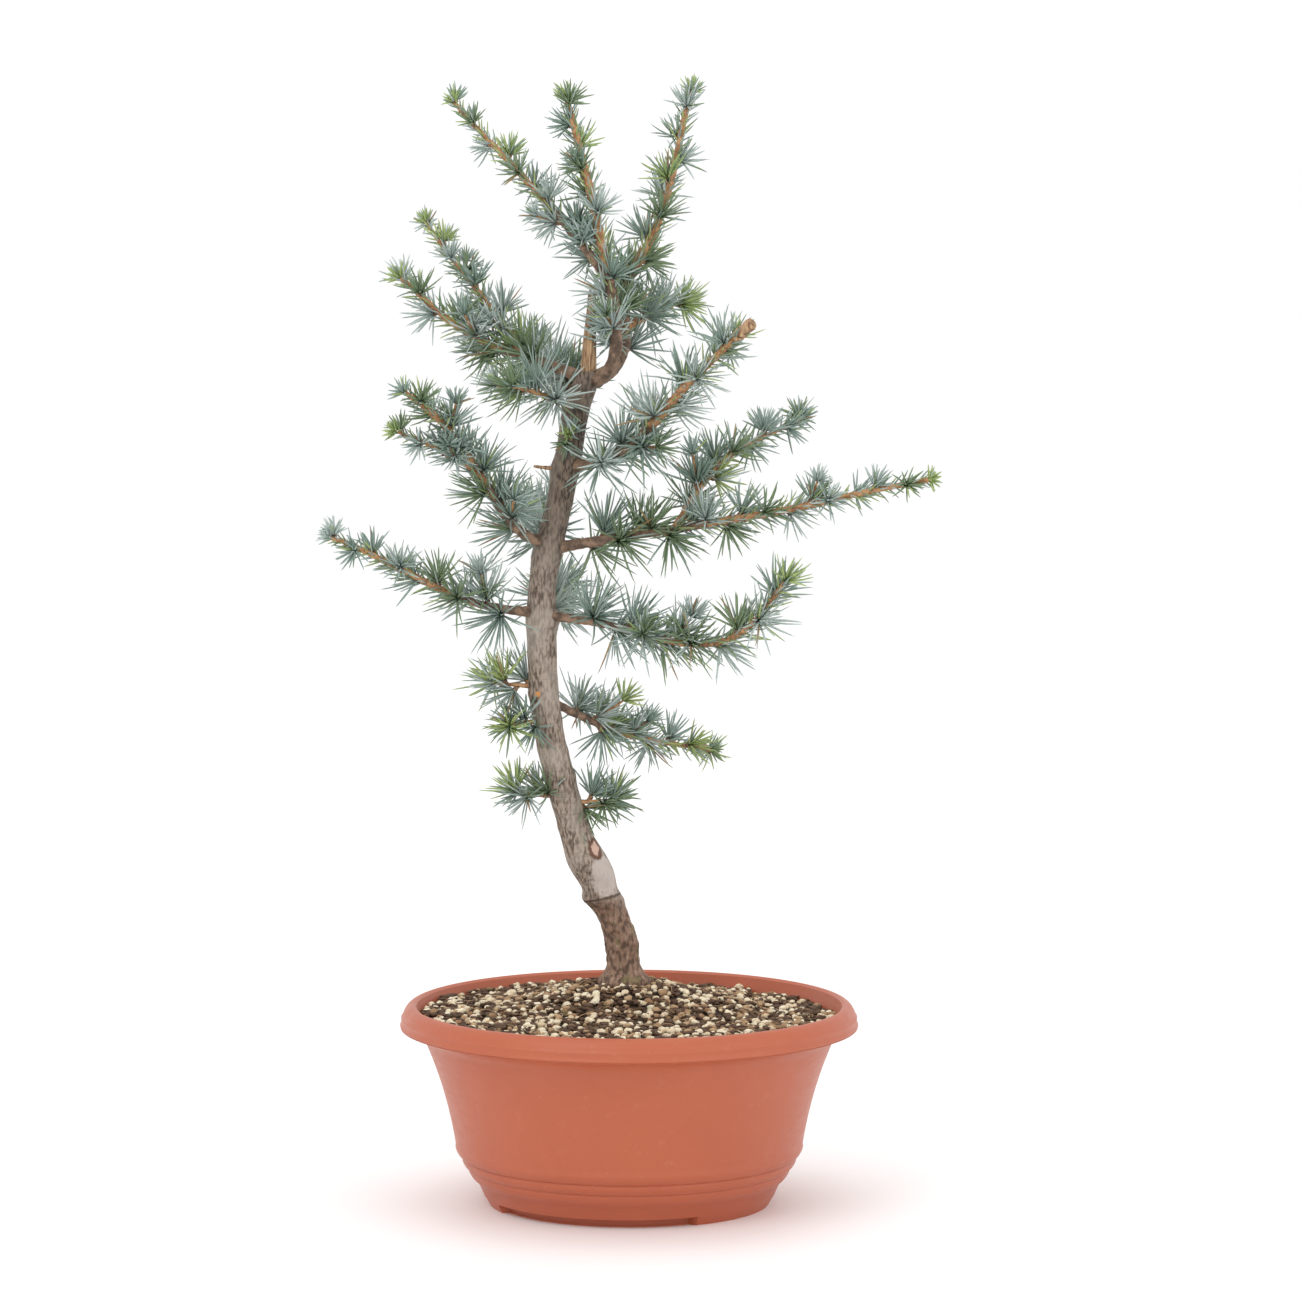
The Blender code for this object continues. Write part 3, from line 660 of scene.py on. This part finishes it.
def skin_of(rings):
    """The closed skin through rings of equally many points, which turn anticlockwise."""
    rings = np.asarray(rings, dtype=float)
    count, sides, _ = rings.shape
    ends = [rings[0].mean(axis=0), rings[-1].mean(axis=0)]
    points = np.vstack([rings.reshape(-1, 3), ends])
    here = np.arange(sides)
    after = (here + 1) % sides
    starts = (np.arange(count - 1) * sides)[:, None]
    low, low_after = starts + here, starts + after
    high, high_after = low + sides, low_after + sides
    last = (count - 1) * sides
    faces = [
        np.stack([low, low_after, high_after], axis=-1).reshape(-1, 3),
        np.stack([low, high_after, high], axis=-1).reshape(-1, 3),
        np.stack([after, here, np.full(sides, count * sides)], axis=-1),
        np.stack([last + here, last + after, np.full(sides, count * sides + 1)], axis=-1),
    ]
    return points, np.vstack(faces)


def outward(angle):
    """The level direction at an angle from +X."""
    return Vector((math.cos(angle), math.sin(angle), 0))


def between(degrees, middle):
    """The turn from one azimuth to another, from -180 to 180 degrees."""
    return (degrees - middle + 180) % 360 - 180


def tube(centres, radii, sides):
    """A closed tube through the centres."""
    centres = [Vector(centre) for centre in centres]
    rings = []
    side = None
    for i, centre in enumerate(centres):
        before = centres[max(i - 1, 0)]
        after = centres[min(i + 1, len(centres) - 1)]
        along = (after - before).normalized()
        side = (side or along.orthogonal()).cross(along).normalized()
        side = along.cross(side).normalized()
        rise = along.cross(side)
        ring = []
        for k in range(sides):
            angle = math.tau * k / sides
            out = side * math.cos(angle) + rise * math.sin(angle)
            ring.append(centre + out * radii[i])
        rings.append(ring)
    return skin_of(rings)


def blend(first, last, share):
    """The value at a share of the way from the first to the last."""
    return first + (last - first) * share


def level(stops, t):
    """The smooth value at t, from 0 to 1, through values given at even stops."""
    place = min(max(t, 0.0), 1.0) * (len(stops) - 1)
    i = min(int(place), len(stops) - 2)
    f = place - i
    before = stops[max(i - 1, 0)]
    after = stops[min(i + 2, len(stops) - 1)]
    here, there = stops[i], stops[i + 1]
    rise_here = (there - before) / 2
    rise_there = (after - here) / 2
    return (
        here * (2 * f**3 - 3 * f**2 + 1)
        + rise_here * (f**3 - 2 * f**2 + f)
        + there * (3 * f**2 - 2 * f**3)
        + rise_there * (f**3 - f**2)
    )


# The bowl


def lip_arc():
    middle = LIP_RADIUS - LIP_WIDTH
    points = []
    for i in range(LIP_STEPS + 1):
        share = i / LIP_STEPS
        angle = math.pi / 2 - math.pi * share * LIP_TURN
        out = sum(math.exp(-(((share - r) / LIP_RIDGE_WIDTH) ** 2)) for r in LIP_RIDGES)
        tall = LIP_RISE if angle > 0 else LIP_DROP
        wide = LIP_WIDTH + out * LIP_RIDGE_HEIGHT - LIP_RIDGE_HEIGHT
        points.append((middle + wide * math.cos(angle), LIP_MIDDLE + tall * math.sin(angle)))
    return points


def body_radius(height):
    bottom_height, bottom_radius = GROOVES[0]
    t = (height - bottom_height) / (NECK_HEIGHT - bottom_height)
    return bottom_radius + BODY_SLOPE * t + BODY_FLARE * t**BODY_CURVE


def band_points():
    points = []
    for (top, wide), (bottom, narrow) in zip(GROOVES, GROOVES[1:]):
        for i in range(BAND_STEPS + 1):
            share = i / BAND_STEPS
            swell = BAND_SWELL * math.sin(math.pi * share) ** BAND_FULLNESS
            points.append((blend(wide, narrow, share) + swell, blend(top, bottom, share)))
    return points


def bowl_profile():
    """The bowl's section from the axis below, round the lip, to the axis inside."""
    foot_inside = FOOT_RADIUS - FOOT_WALL
    bottom_height = GROOVES[0][0]
    profile = [(0.0, BASE_UNDERSIDE), (BASE_RING_INSIDE - BASE_RING_SLOPE, BASE_UNDERSIDE)]
    profile += [(BASE_RING_INSIDE, BASE_RING_HEIGHT), (foot_inside, BASE_RING_HEIGHT)]
    profile += [(foot_inside, 0.0), (FOOT_RADIUS, 0.0)]
    profile += [(FOOT_RADIUS + FOOT_FLARE, FOOT_FLARE_HEIGHT)]
    profile += [(FOOT_RADIUS + FOOT_FLARE_TOP, RECESS_HEIGHT)]
    profile += reversed(band_points())
    for i in range(1, BODY_STEPS):
        height = blend(bottom_height, NECK_HEIGHT, i / BODY_STEPS)
        profile.append((body_radius(height), height))
    profile.append((NECK_RADIUS, NECK_HEIGHT))
    profile += reversed(lip_arc())
    lip_inside = LIP_RADIUS - LIP_WIDTH
    profile += [
        (lip_inside - LIP_INNER_EDGE[0], LIP_MIDDLE + LIP_INNER_EDGE[1]),
        (lip_inside - LIP_INNER_CURVE[0], LIP_MIDDLE + LIP_INNER_CURVE[1]),
        (NECK_RADIUS - WALL, NECK_HEIGHT),
        (body_radius(INNER_BEND) - WALL, INNER_BEND),
        (GROOVES[0][1] - WALL, bottom_height),
        (FLOOR_RADIUS, FLOOR_HEIGHT),
        (0.0, FLOOR_HEIGHT),
    ]
    return profile


def in_recess(degrees):
    return any(abs(between(degrees, middle)) < RECESS_SPREAD / 2 for middle in RECESS_MIDDLES)


def bowl():
    rings = []
    for radius, height in bowl_profile():
        ring = []
        for i in range(BOWL_SEGMENTS):
            degrees = 360 * i / BOWL_SEGMENTS
            wide = radius
            foot = FOOT_RADIUS <= radius and height < RECESS_HEIGHT
            if foot and in_recess(degrees):
                wide = FOOT_RADIUS - RECESS_DEPTH
            angle = math.radians(degrees)
            ring.append((wide * math.cos(angle), wide * math.sin(angle), height))
        rings.append(ring)
    skin = Skin()
    skin.add(*skin_of(rings[1:-1]))
    piece = skin.piece("bowl", bowl_finish(), "pot_plastic", ["pot"])
    piece.data.set_sharp_from_angle(angle=math.radians(BOWL_SHARP_ANGLE))


# The potting mix


def soil_height(x, y):
    foot_x, foot_y = TRUNK_BENDS[0][1:]
    away = max(math.hypot(x - foot_x, y - foot_y) - TRUNK_PATCH, 0.0)
    mound = SOIL_MOUND * math.exp(-((away / SOIL_MOUND_SPREAD) ** 2))
    return SOIL_EDGE + mound - SOIL_TILT * x * min(away / SOIL_TILT_REACH, 1.0)


def soil_bed():
    rings = []
    bottom = SOIL_EDGE - SOIL_DEPTH
    for ring_number in range(SOIL_RINGS + 1):
        share = 1 - ring_number / (SOIL_RINGS + 1)
        ring = []
        for i in range(SOIL_SEGMENTS):
            angle = math.tau * i / SOIL_SEGMENTS
            x = SOIL_RADIUS * share * math.cos(angle)
            y = SOIL_RADIUS * share * math.sin(angle)
            lumps = noise.noise(Vector((x, y, 0)) * SOIL_LUMP_SCALE) * SOIL_LUMPS
            ring.append((x, y, soil_height(x, y) - SOIL_SKIN + lumps))
        if ring_number == 0:
            rings.append([(x * SOIL_FOOT, y * SOIL_FOOT, bottom) for x, y, _ in ring])
        rings.append(ring)
    bed = Skin()
    bed.add(*skin_of(rings))
    bed.piece("soil_bed", soil_finish(), "potting_mix", ["soil"])


def place_on_soil(rng, radius):
    angle = rng.uniform(0, math.tau)
    away = radius * math.sqrt(rng.random())
    return away * math.cos(angle), away * math.sin(angle)


def blob(rounds):
    """The points and triangles of a ball."""
    form = bmesh.new()
    bmesh.ops.create_icosphere(form, subdivisions=rounds, radius=1.0)
    points = np.array([vertex.co[:] for vertex in form.verts])
    faces = np.array([[vertex.index for vertex in face.verts] for face in form.faces])
    form.free()
    return points, faces


def lay_grain(skin, ball, x, y, size, rng, form):
    """One uneven grain, turned at random and half sunk in the mix."""
    points, faces = ball
    waves = points @ np.array([rng.uniform(*GRAIN_WAVES) for _ in range(3)])
    rough = 1 + GRAIN_WAVE_HEIGHT * np.sin(waves + rng.uniform(0, GRAIN_WAVE_SHIFT))
    rough += np.array([rng.uniform(-GRAIN_ROUGHNESS, GRAIN_ROUGHNESS) for _ in points])
    shaped = points * rough[:, None] * (np.array(form) * size)
    turn = Matrix.Rotation(rng.uniform(0, math.tau), 3, "Z")
    lean = Matrix.Rotation(rng.uniform(-GRAIN_LEAN, GRAIN_LEAN), 3, "X")
    centre = (x, y, soil_height(x, y) + rng.uniform(*GRAIN_DEPTHS))
    skin.add(shaped @ np.array(turn @ lean).T + centre, faces)


def lay_fibre(skin, x, y, rng):
    """A thin root that winds over the mix."""
    turn = rng.uniform(0, math.tau)
    length = rng.uniform(*FIBRE_LENGTHS)
    points = []
    for i in range(FIBRE_STEPS + 1):
        share = i / FIBRE_STEPS
        bend = turn + share * rng.uniform(*FIBRE_BENDS)
        px = x + length * share * math.cos(bend)
        py = y + length * share * math.sin(bend)
        points.append((px, py, soil_height(px, py) + FIBRE_RISE * math.sin(math.pi * share)))
    skin.add(*tube(points, [FIBRE_THICK] * len(points), FIBRE_SIDES))


def loose_mix():
    rng = random.Random(SEED)
    cream, tan, chips, fibres = Skin(), Skin(), Skin(), Skin()
    ball = blob(2)
    small = blob(1)
    for _ in range(PUMICE_COUNT):
        x, y = place_on_soil(rng, SOIL_RADIUS - GRAIN_MARGIN)
        size = rng.triangular(*PUMICE_SIZES, PUMICE_USUAL_SIZE)
        skin = cream if rng.random() < CREAM_SHARE else tan
        lay_grain(skin, ball, x, y, size, rng, PUMICE_FORM)
    for _ in range(CHIP_COUNT):
        x, y = place_on_soil(rng, SOIL_RADIUS - GRAIN_MARGIN)
        lay_grain(chips, small, x, y, rng.uniform(*CHIP_SIZES), rng, CHIP_FORM)
    for _ in range(FIBRE_COUNT):
        x, y = place_on_soil(rng, SOIL_RADIUS - FIBRE_MARGIN)
        lay_fibre(fibres, x, y, rng)
    cream.piece("pumice_cream", pumice_finish(*CREAM_PUMICE), "potting_mix")
    tan.piece("pumice_tan", pumice_finish(*TAN_PUMICE), "potting_mix")
    chips.piece("bark_chips", chip_finish(), "potting_mix")
    fibres.piece("root_fibres", fibre_finish(), "potting_mix")


# Trunk, limbs and dead wood


def trunk_axis(height):
    heights = [bend[0] for bend in TRUNK_BENDS]
    height = min(max(height, heights[0]), heights[-1])
    i = max(k for k in range(len(heights) - 1) if heights[k] <= height)
    share = (height - heights[i]) / (heights[i + 1] - heights[i])
    t = (i + share) / (len(heights) - 1)
    x = level([bend[1] for bend in TRUNK_BENDS], t)
    y = level([bend[2] for bend in TRUNK_BENDS], t)
    return Vector((x, y, height))


def trunk_thickness(height):
    bottom, top = TRUNK_BENDS[0][0], TRUNK_BENDS[-1][0]
    thick = blend(FOOT_THICK, FORK_THICK, (height - bottom) / (top - bottom))
    for middle, spread, added in SWELLINGS:
        thick += added * math.exp(-(((height - middle) / spread) ** 2))
    return thick


def bark_relief(azimuth, height):
    """How far the bark stands out from the trunk's plain form."""
    around = outward(math.radians(azimuth)) * BARK_GIRTH
    rough = 0.0
    for squeeze, scale, added in BARK_ROUGHNESS:
        rough += added * noise.noise((around + Vector((0, 0, height * squeeze))) * scale)
    if height < PLATE_TOP:
        plates = noise.noise((around + Vector((0, 0, height))) * PLATE_SCALE)
        rough += PLATE_HEIGHT * (math.sqrt(max(plates, 0.0)) - 0.5)
    for middle, at, wide, tall, added in MARKS:
        sideways = between(azimuth, middle) / wide
        upward = (height - at) / tall
        rough += added * math.exp(-(sideways**2) - upward**2)
    scale, added = BARK_RINGS
    return rough + added * noise.noise(Vector((0, 0, height * scale)))


def trunk():
    bottom, top = TRUNK_BENDS[0][0], TRUNK_BENDS[-1][0]
    rings = []
    for k in range(TRUNK_RINGS + 1):
        height = blend(bottom, top, k / TRUNK_RINGS)
        middle = trunk_axis(height)
        radius = trunk_thickness(height)
        if k == 0:
            middle.z -= TRUNK_BURIED
        ring = []
        for i in range(TRUNK_SIDES):
            azimuth = 360 * i / TRUNK_SIDES
            out = outward(math.radians(azimuth))
            ring.append(middle + out * (radius + bark_relief(azimuth, height)))
        rings.append(ring)
    skin = Skin()
    skin.add(*skin_of(rings))
    skin.piece("trunk_relief", bark_finish(), "bark", ["trunk"])


class Course:
    """The line that a limb follows from its root, with the directions across it."""

    def __init__(self, limb, start):
        self.limb = limb
        self.points = [start]
        self.count = math.ceil((limb.length + COURSE_BEYOND) / COURSE_STEP)
        for i in range(self.count):
            self.points.append(self.points[-1] + self.along(i * COURSE_STEP) * COURSE_STEP)

    def along(self, distance):
        pitch = math.radians(level(self.limb.pitches, distance / self.limb.length))
        azimuth = math.radians(self.limb.azimuth)
        flat = math.cos(pitch)
        return Vector((flat * math.cos(azimuth), flat * math.sin(azimuth), math.sin(pitch)))

    def at(self, distance):
        place = max(distance / COURSE_STEP, 0.0)
        i = min(int(place), self.count - 1)
        return self.points[i].lerp(self.points[i + 1], min(place - i, 1.0))

    def across(self, distance):
        azimuth = math.radians(self.limb.azimuth)
        side = Vector((-math.sin(azimuth), math.cos(azimuth), 0))
        return side, self.along(distance).cross(side)

    def reach(self, distance):
        return blend(*self.limb.reach, min(distance / self.limb.length, 1.0))


def courses():
    found = {}
    for limb in LIMBS + TUFTS + (DEAD_TWIG,):
        if limb.parent == "trunk":
            start = trunk_axis(limb.root)
        else:
            start = found[limb.parent].at(limb.root)
        found[limb.name] = Course(limb, start)
    return found


def limb_skin(course, start, end):
    """A stretch of a limb's bark, with knobs, fine rings and a swollen root."""
    limb = course.limb
    steps = max(round((end - start) / LIMB_RING_STEP), LIMB_RINGS_LEAST)
    knob_scale, knob_height = LIMB_KNOBS
    wrinkle_scale, wrinkle_height = LIMB_WRINKLES
    rings = []
    for k in range(steps + 1):
        distance = blend(start, end, k / steps)
        side, rise = course.across(distance)
        middle = course.at(distance)
        radius = limb.thick * (1 - LIMB_TAPER * distance / limb.length)
        root = 1 + LIMB_ROOT_SWELL * math.exp(-distance / LIMB_ROOT_REACH)
        wrinkles = noise.noise(Vector((distance * wrinkle_scale, limb.azimuth, 0)))
        ring = []
        for i in range(LIMB_SIDES):
            angle = math.tau * i / LIMB_SIDES
            out = side * math.cos(angle) + rise * math.sin(angle)
            knobs = noise.noise((middle + out * radius) * knob_scale)
            wide = radius * (root + knob_height * knobs + wrinkle_height * wrinkles)
            ring.append(middle + out * wide)
        rings.append(ring)
    return skin_of(rings)


def dead_leader_skin():
    """The dried stub on the fork, furrowed and frayed at its top."""
    foot = trunk_axis(TRUNK_BENDS[-1][0]) - Vector((0, 0, DEAD_LEADER_BURIED))
    around, upward, depth = FURROWS
    rings = []
    for k in range(DEAD_LEADER_RINGS + 1):
        share = k / DEAD_LEADER_RINGS
        middle = foot + Vector((DEAD_LEADER_LEAN, 0, DEAD_LEADER_TOP - foot.z)) * share
        radius = blend(*DEAD_LEADER_THICK, share)
        ring = []
        for i in range(DEAD_LEADER_SIDES):
            out = outward(math.tau * i / DEAD_LEADER_SIDES)
            furrow = noise.noise(out * around + Vector((0, 0, share * upward)))
            fray = noise.noise(out * FRAY_SCALE + Vector((0, 0, FRAY_SLICE)))
            rise = Vector((0, 0, fray * FRAY_HEIGHT * share**FRAY_ONSET))
            ring.append(middle + out * radius * (1 + depth * furrow) + rise)
        rings.append(ring)
    return skin_of(rings)


def cut_end_skin(course):
    start = course.limb.length - CUT_END
    turn, depth = CUT_END_WAVE
    points = []
    radii = []
    for i in range(CUT_END_STEPS + 1):
        points.append(course.at(start + CUT_END * i / CUT_END_STEPS))
        radii.append(CUT_END_THICK * (CUT_END_FULLNESS - depth * math.sin(i * turn)))
    return tube(points, radii, CUT_END_SIDES)


def dead_wood(found):
    skin = Skin()
    skin.add(*dead_leader_skin())
    skin.add(*limb_skin(found["dead_twig"], 0, DEAD_TWIG.length))
    skin.add(*cut_end_skin(found[CUT_LIMB]))
    replaced = ["dead_leader", "dead_twig", CUT_LIMB + "_cut_end"]
    skin.piece("dead_wood_relief", dead_finish(), "dead_wood", replaced)


# Spurs, shoots and needles


class Sprays:
    """Needles that are gathered by tint."""

    def __init__(self):
        self.rows = {tint.name: [] for tint in TINTS}

    def tint_for(self, rng, age):
        weights = [blend(tint.old, tint.young, age**YOUNG_ONSET) for tint in TINTS]
        return rng.choices([tint.name for tint in TINTS], weights)[0]

    def needle(self, tint, rng, base, along, length, width):
        bend = any_way_across(along, rng) * rng.uniform(0, NEEDLE_BEND)
        roll = rng.uniform(0, math.tau)
        self.rows[tint].append((*base, *along, *bend, length, width, roll))

    def rosette(self, rng, base, along, length, age, count, fresh=False):
        """A whorl of needles that spreads from the end of a spur."""
        main = "lime" if fresh else self.tint_for(rng, age)
        side = along.orthogonal().normalized()
        rise = along.cross(side)
        for i in range(count):
            turn = i * GOLDEN_TURN + rng.uniform(-ROSETTE_TURN, ROSETTE_TURN)
            spread = blend(*ROSETTE_SPREAD, ((i + 0.5) / count) ** ROSETTE_CROWDING)
            spread += rng.uniform(-ROSETTE_TILT, ROSETTE_TILT)
            out = side * math.cos(turn) + rise * math.sin(turn)
            needle = along * math.cos(spread) + out * math.sin(spread)
            needle = (needle + Vector((0, 0, NEEDLE_LIFT))).normalized()
            tint = main if rng.random() > STRAY_CHANCE else self.tint_for(rng, age)
            if rng.random() < STRAW_CHANCE:
                tint = "straw"
            long = length * rng.uniform(1 - NEEDLE_UNEVEN, 1 + NEEDLE_UNEVEN)
            wide = NEEDLE_WIDTH * rng.uniform(*NEEDLE_WIDTH_RANGE)
            self.needle(tint, rng, base + needle * NEEDLE_ROOT, needle, long, wide)

    def pieces(self, replaced):
        for tint in TINTS:
            rows = np.array(self.rows[tint.name])
            if not len(rows):
                continue
            material = needle_finish(tint)
            most = PIECE_TRIANGLES // len(needle_faces())
            for n, start in enumerate(range(0, len(rows), most)):
                skin = Skin()
                skin.add(*needle_skin(rows[start:start + most]))
                name = f"needles_{tint.name}_{n + 1}"
                skin.piece(name, material, "needles", replaced if n == 0 else ())


def any_way_across(along, rng):
    """A direction at right angles to another, turned about it at random."""
    out = along.orthogonal().normalized()
    out.rotate(Quaternion(along, rng.uniform(0, math.tau)))
    return out


def needle_faces():
    """Triangles of one three-sided needle with a pointed tip."""
    faces = [(0, 2, 1)]
    top = (len(NEEDLE_STOPS) - 1) * NEEDLE_SIDES
    for low in range(0, top, NEEDLE_SIDES):
        high = low + NEEDLE_SIDES
        for i in range(NEEDLE_SIDES):
            after = (i + 1) % NEEDLE_SIDES
            faces.append((low + i, low + after, high + after))
            faces.append((low + i, high + after, high + i))
    for i in range(NEEDLE_SIDES):
        faces.append((top + i, top + (i + 1) % NEEDLE_SIDES, top + NEEDLE_SIDES))
    return faces


def needle_skin(rows):
    """All the needles of the rows at once: base, direction, bend, length, width and roll."""
    base, along, bend = rows[:, 0:3], rows[:, 3:6], rows[:, 6:9]
    length, width, roll = rows[:, 9], rows[:, 10], rows[:, 11]
    leaning = np.abs(along[:, 2:3]) < UPRIGHT
    helper = np.where(leaning, [[0.0, 0.0, 1.0]], [[1.0, 0.0, 0.0]])
    side = np.cross(helper, along)
    side /= np.linalg.norm(side, axis=1)[:, None]
    rise = np.cross(along, side)
    points = []
    for stop, wide in zip(NEEDLE_STOPS, NEEDLE_WIDTHS):
        centre = base + along * (length * stop)[:, None] + bend * (length * stop**2)[:, None]
        for i in range(NEEDLE_SIDES):
            angle = roll + math.tau * i / NEEDLE_SIDES
            out = side * np.cos(angle)[:, None] + rise * np.sin(angle)[:, None]
            points.append(centre + out * (width * wide)[:, None])
    points.append(base + (along + bend) * length[:, None])
    points = np.stack(points, axis=1)
    each = points.shape[1]
    faces = np.array(needle_faces())
    starts = (np.arange(len(rows)) * each)[:, None, None]
    return points.reshape(-1, 3), (faces[None] + starts).reshape(-1, 3)


def spur(wood, base, along, length, thick):
    """A short knobbly spur, widest toward its end."""
    steps = len(SPUR_FORM) - 1
    points = [base - along * SPUR_BURIED]
    points += [base + along * length * i / steps for i in range(1, steps + 1)]
    wood.add(*tube(points, [thick * share for share in SPUR_FORM], SPUR_SIDES))
    return points[-1]


def rosettes_along(course, end, turn, rng, wood, shoots, sprays):
    """Spurs with rosettes, some of them on side shoots. Gives the last one's turn."""
    limb = course.limb
    tuft = limb in TUFTS
    distance = limb.bare
    while distance < end:
        age = distance / limb.length
        reach = course.reach(distance)
        side, rise = course.across(distance)
        turn += GOLDEN_TURN + rng.uniform(-SPUR_TURN, SPUR_TURN)
        out = side * math.cos(turn) + rise * (math.sin(turn) + UPWARD)
        way = (out.normalized() + course.along(distance) * SPUR_LEAN).normalized()
        fullness = blend(ROSETTE_LEAST, 1, reach / FULL_REACH)
        count = round(rng.uniform(*ROSETTE_NEEDLES) * fullness)
        if not tuft and age < SHOOTS_UNTIL and rng.random() < SHOOT_CHANCE:
            side_shoot(course, distance, way, rng, shoots, wood, sprays)
        length = blend(*SPUR_LENGTH, age)
        tip = spur(wood, course.at(distance), way, length, SPUR_THICK)
        sprays.rosette(rng, tip, way, reach * NEEDLE_REACH, age, count)
        wider = TUFT_SPACING if tuft else 1 + YOUNG_SPREAD * age
        distance += rng.uniform(*SPUR_SPACING) * wider
    return turn


def single_needles(course, end, turn, rng, sprays):
    """Needles set one by one along the young wood."""
    distance = course.limb.length * YOUNG_FROM
    while distance < end:
        turn += GOLDEN_TURN
        side, rise = course.across(distance)
        out = side * math.cos(turn) + rise * math.sin(turn)
        along = course.along(distance)
        way = (along * math.cos(YOUNG_LEAN) + out * math.sin(YOUNG_LEAN)).normalized()
        length = course.reach(distance) * rng.uniform(*YOUNG_LENGTH)
        tint = sprays.tint_for(rng, 1.0)
        sprays.needle(tint, rng, course.at(distance), way, length, NEEDLE_WIDTH * YOUNG_WIDTH)
        distance += YOUNG_SPACING


def grow(course, rng, wood, shoots, sprays):
    """The foliage of one limb: rosettes, one at its tip unless it is sawn, single needles."""
    limb = course.limb
    sawn = limb.name == CUT_LIMB
    end = limb.length - (CUT_END if sawn else 0)
    turn = rng.uniform(0, math.tau)
    turn = rosettes_along(course, end, turn, rng, wood, shoots, sprays)
    if not sawn:
        count = round(rng.uniform(*TIP_NEEDLES))
        fresh = limb.name in FRESH_TIPS
        reach = course.reach(end)
        sprays.rosette(rng, course.at(end), course.along(end), reach, 1.0, count, fresh)
    if limb not in TUFTS:
        single_needles(course, end, turn, rng, sprays)


def side_shoot(course, distance, way, rng, shoots, wood, sprays):
    """A short side shoot that curves upward, with a rosette on its tip and one beside it."""
    reach = course.reach(distance)
    length = rng.uniform(*SHOOT_LENGTH) * blend(SHOOT_LENGTH_LEAST, 1, reach / FULL_REACH)
    points = [course.at(distance)]
    heading = way.copy()
    for _ in range(SHOOT_STEPS):
        heading = (heading + Vector((0, 0, SHOOT_LIFT))).normalized()
        points.append(points[-1] + heading * length / SHOOT_STEPS)
    radii = [SHOOT_THICK * (1 - SHOOT_TAPER * i) for i in range(SHOOT_STEPS + 1)]
    shoots.add(*tube(points, radii, SPUR_SIDES))
    reach *= SHOOT_REACH
    count = round(rng.uniform(*SHOOT_TIP_NEEDLES))
    sprays.rosette(rng, points[-1], heading, reach, SHOOT_TIP_AGE, count)
    out = any_way_across(heading, rng)
    way = (out + heading * SHOOT_SPUR_LEAN).normalized()
    tip = spur(wood, points[SHOOT_STEPS // 2], way, SHOOT_SPUR_LENGTH, SHOOT_THICK)
    count = round(rng.uniform(*SHOOT_SPUR_NEEDLES))
    sprays.rosette(rng, tip, out, reach, SHOOT_SPUR_AGE, count)


def crown():
    found = courses()
    dead_wood(found)
    old, young, wood, shoots = Skin(), Skin(), Skin(), Skin()
    sprays = Sprays()
    for number, limb in enumerate(TUFTS + LIMBS):
        course = found[limb.name]
        end = limb.length - (CUT_END / 2 if limb.name == CUT_LIMB else 0)
        change = limb.length * OLD_SHARE if limb.thick >= OLD_THICK else 0
        if change:
            old.add(*limb_skin(course, 0, change + COURSE_STEP))
        young.add(*limb_skin(course, change, end))
        grow(course, random.Random(LIMB_SEED + number), wood, shoots, sprays)
    boughs = [limb.name for limb in LIMBS if limb.parent == "trunk"]
    masses = [name for name in frame["nodes"] if name.startswith(("needles_", "tuft_"))]
    old.piece("boughs_relief", limb_finish(*BOUGH_BARK), "young_bark", boughs)
    young.piece("young_limbs", limb_finish(*YOUNG_BARK), "young_bark")
    wood.piece("spurs", limb_finish(*SPUR_BARK), "young_bark")
    shoots.piece("side_shoots", limb_finish(*SHOOT_BARK), "young_bark")
    sprays.pieces(masses)


# Floor, light and camera


def stage():
    form = bmesh.new()
    bmesh.ops.create_circle(form, cap_ends=True, segments=FLOOR_SEGMENTS, radius=FLOOR_REACH)
    mesh = bpy.data.meshes.new("floor")
    form.to_mesh(mesh)
    form.free()
    mesh.materials.append(floor_finish())
    floor = bpy.data.objects.new("floor", mesh)
    bpy.context.scene.collection.objects.link(floor)

    world = bpy.data.worlds.new("studio")
    world.use_nodes = True
    background = world.node_tree.nodes["Background"]
    background.inputs["Color"].default_value = (1.0, 1.0, 1.0, 1.0)
    background.inputs["Strength"].default_value = SKY_STRENGTH
    bpy.context.scene.world = world
    bpy.context.scene.view_settings.view_transform = "Standard"
    for light in LIGHTS:
        add_light(*light)


def add_light(name, place, size, power):
    light = bpy.data.lights.new(name, "AREA")
    light.shape = "DISK"
    light.size = size
    light.energy = power
    lamp = bpy.data.objects.new(name, light)
    lamp.location = place
    aim = Vector(LIGHT_AIM) - Vector(place)
    lamp.rotation_euler = aim.to_track_quat("-Z", "Y").to_euler()
    bpy.context.scene.collection.objects.link(lamp)


def camera():
    lens = bpy.data.cameras.new("camera")
    lens.lens = CAMERA_LENS
    lens.sensor_width = CAMERA_FILM
    eye = bpy.data.objects.new("camera", lens)
    eye.location = CAMERA_PLACE
    eye.rotation_euler = (math.pi / 2 - CAMERA_PITCH, 0, 0)
    bpy.context.scene.collection.objects.link(eye)
    bpy.context.scene.camera = eye


bowl()
soil_bed()
loose_mix()
trunk()
crown()
stage()
camera()
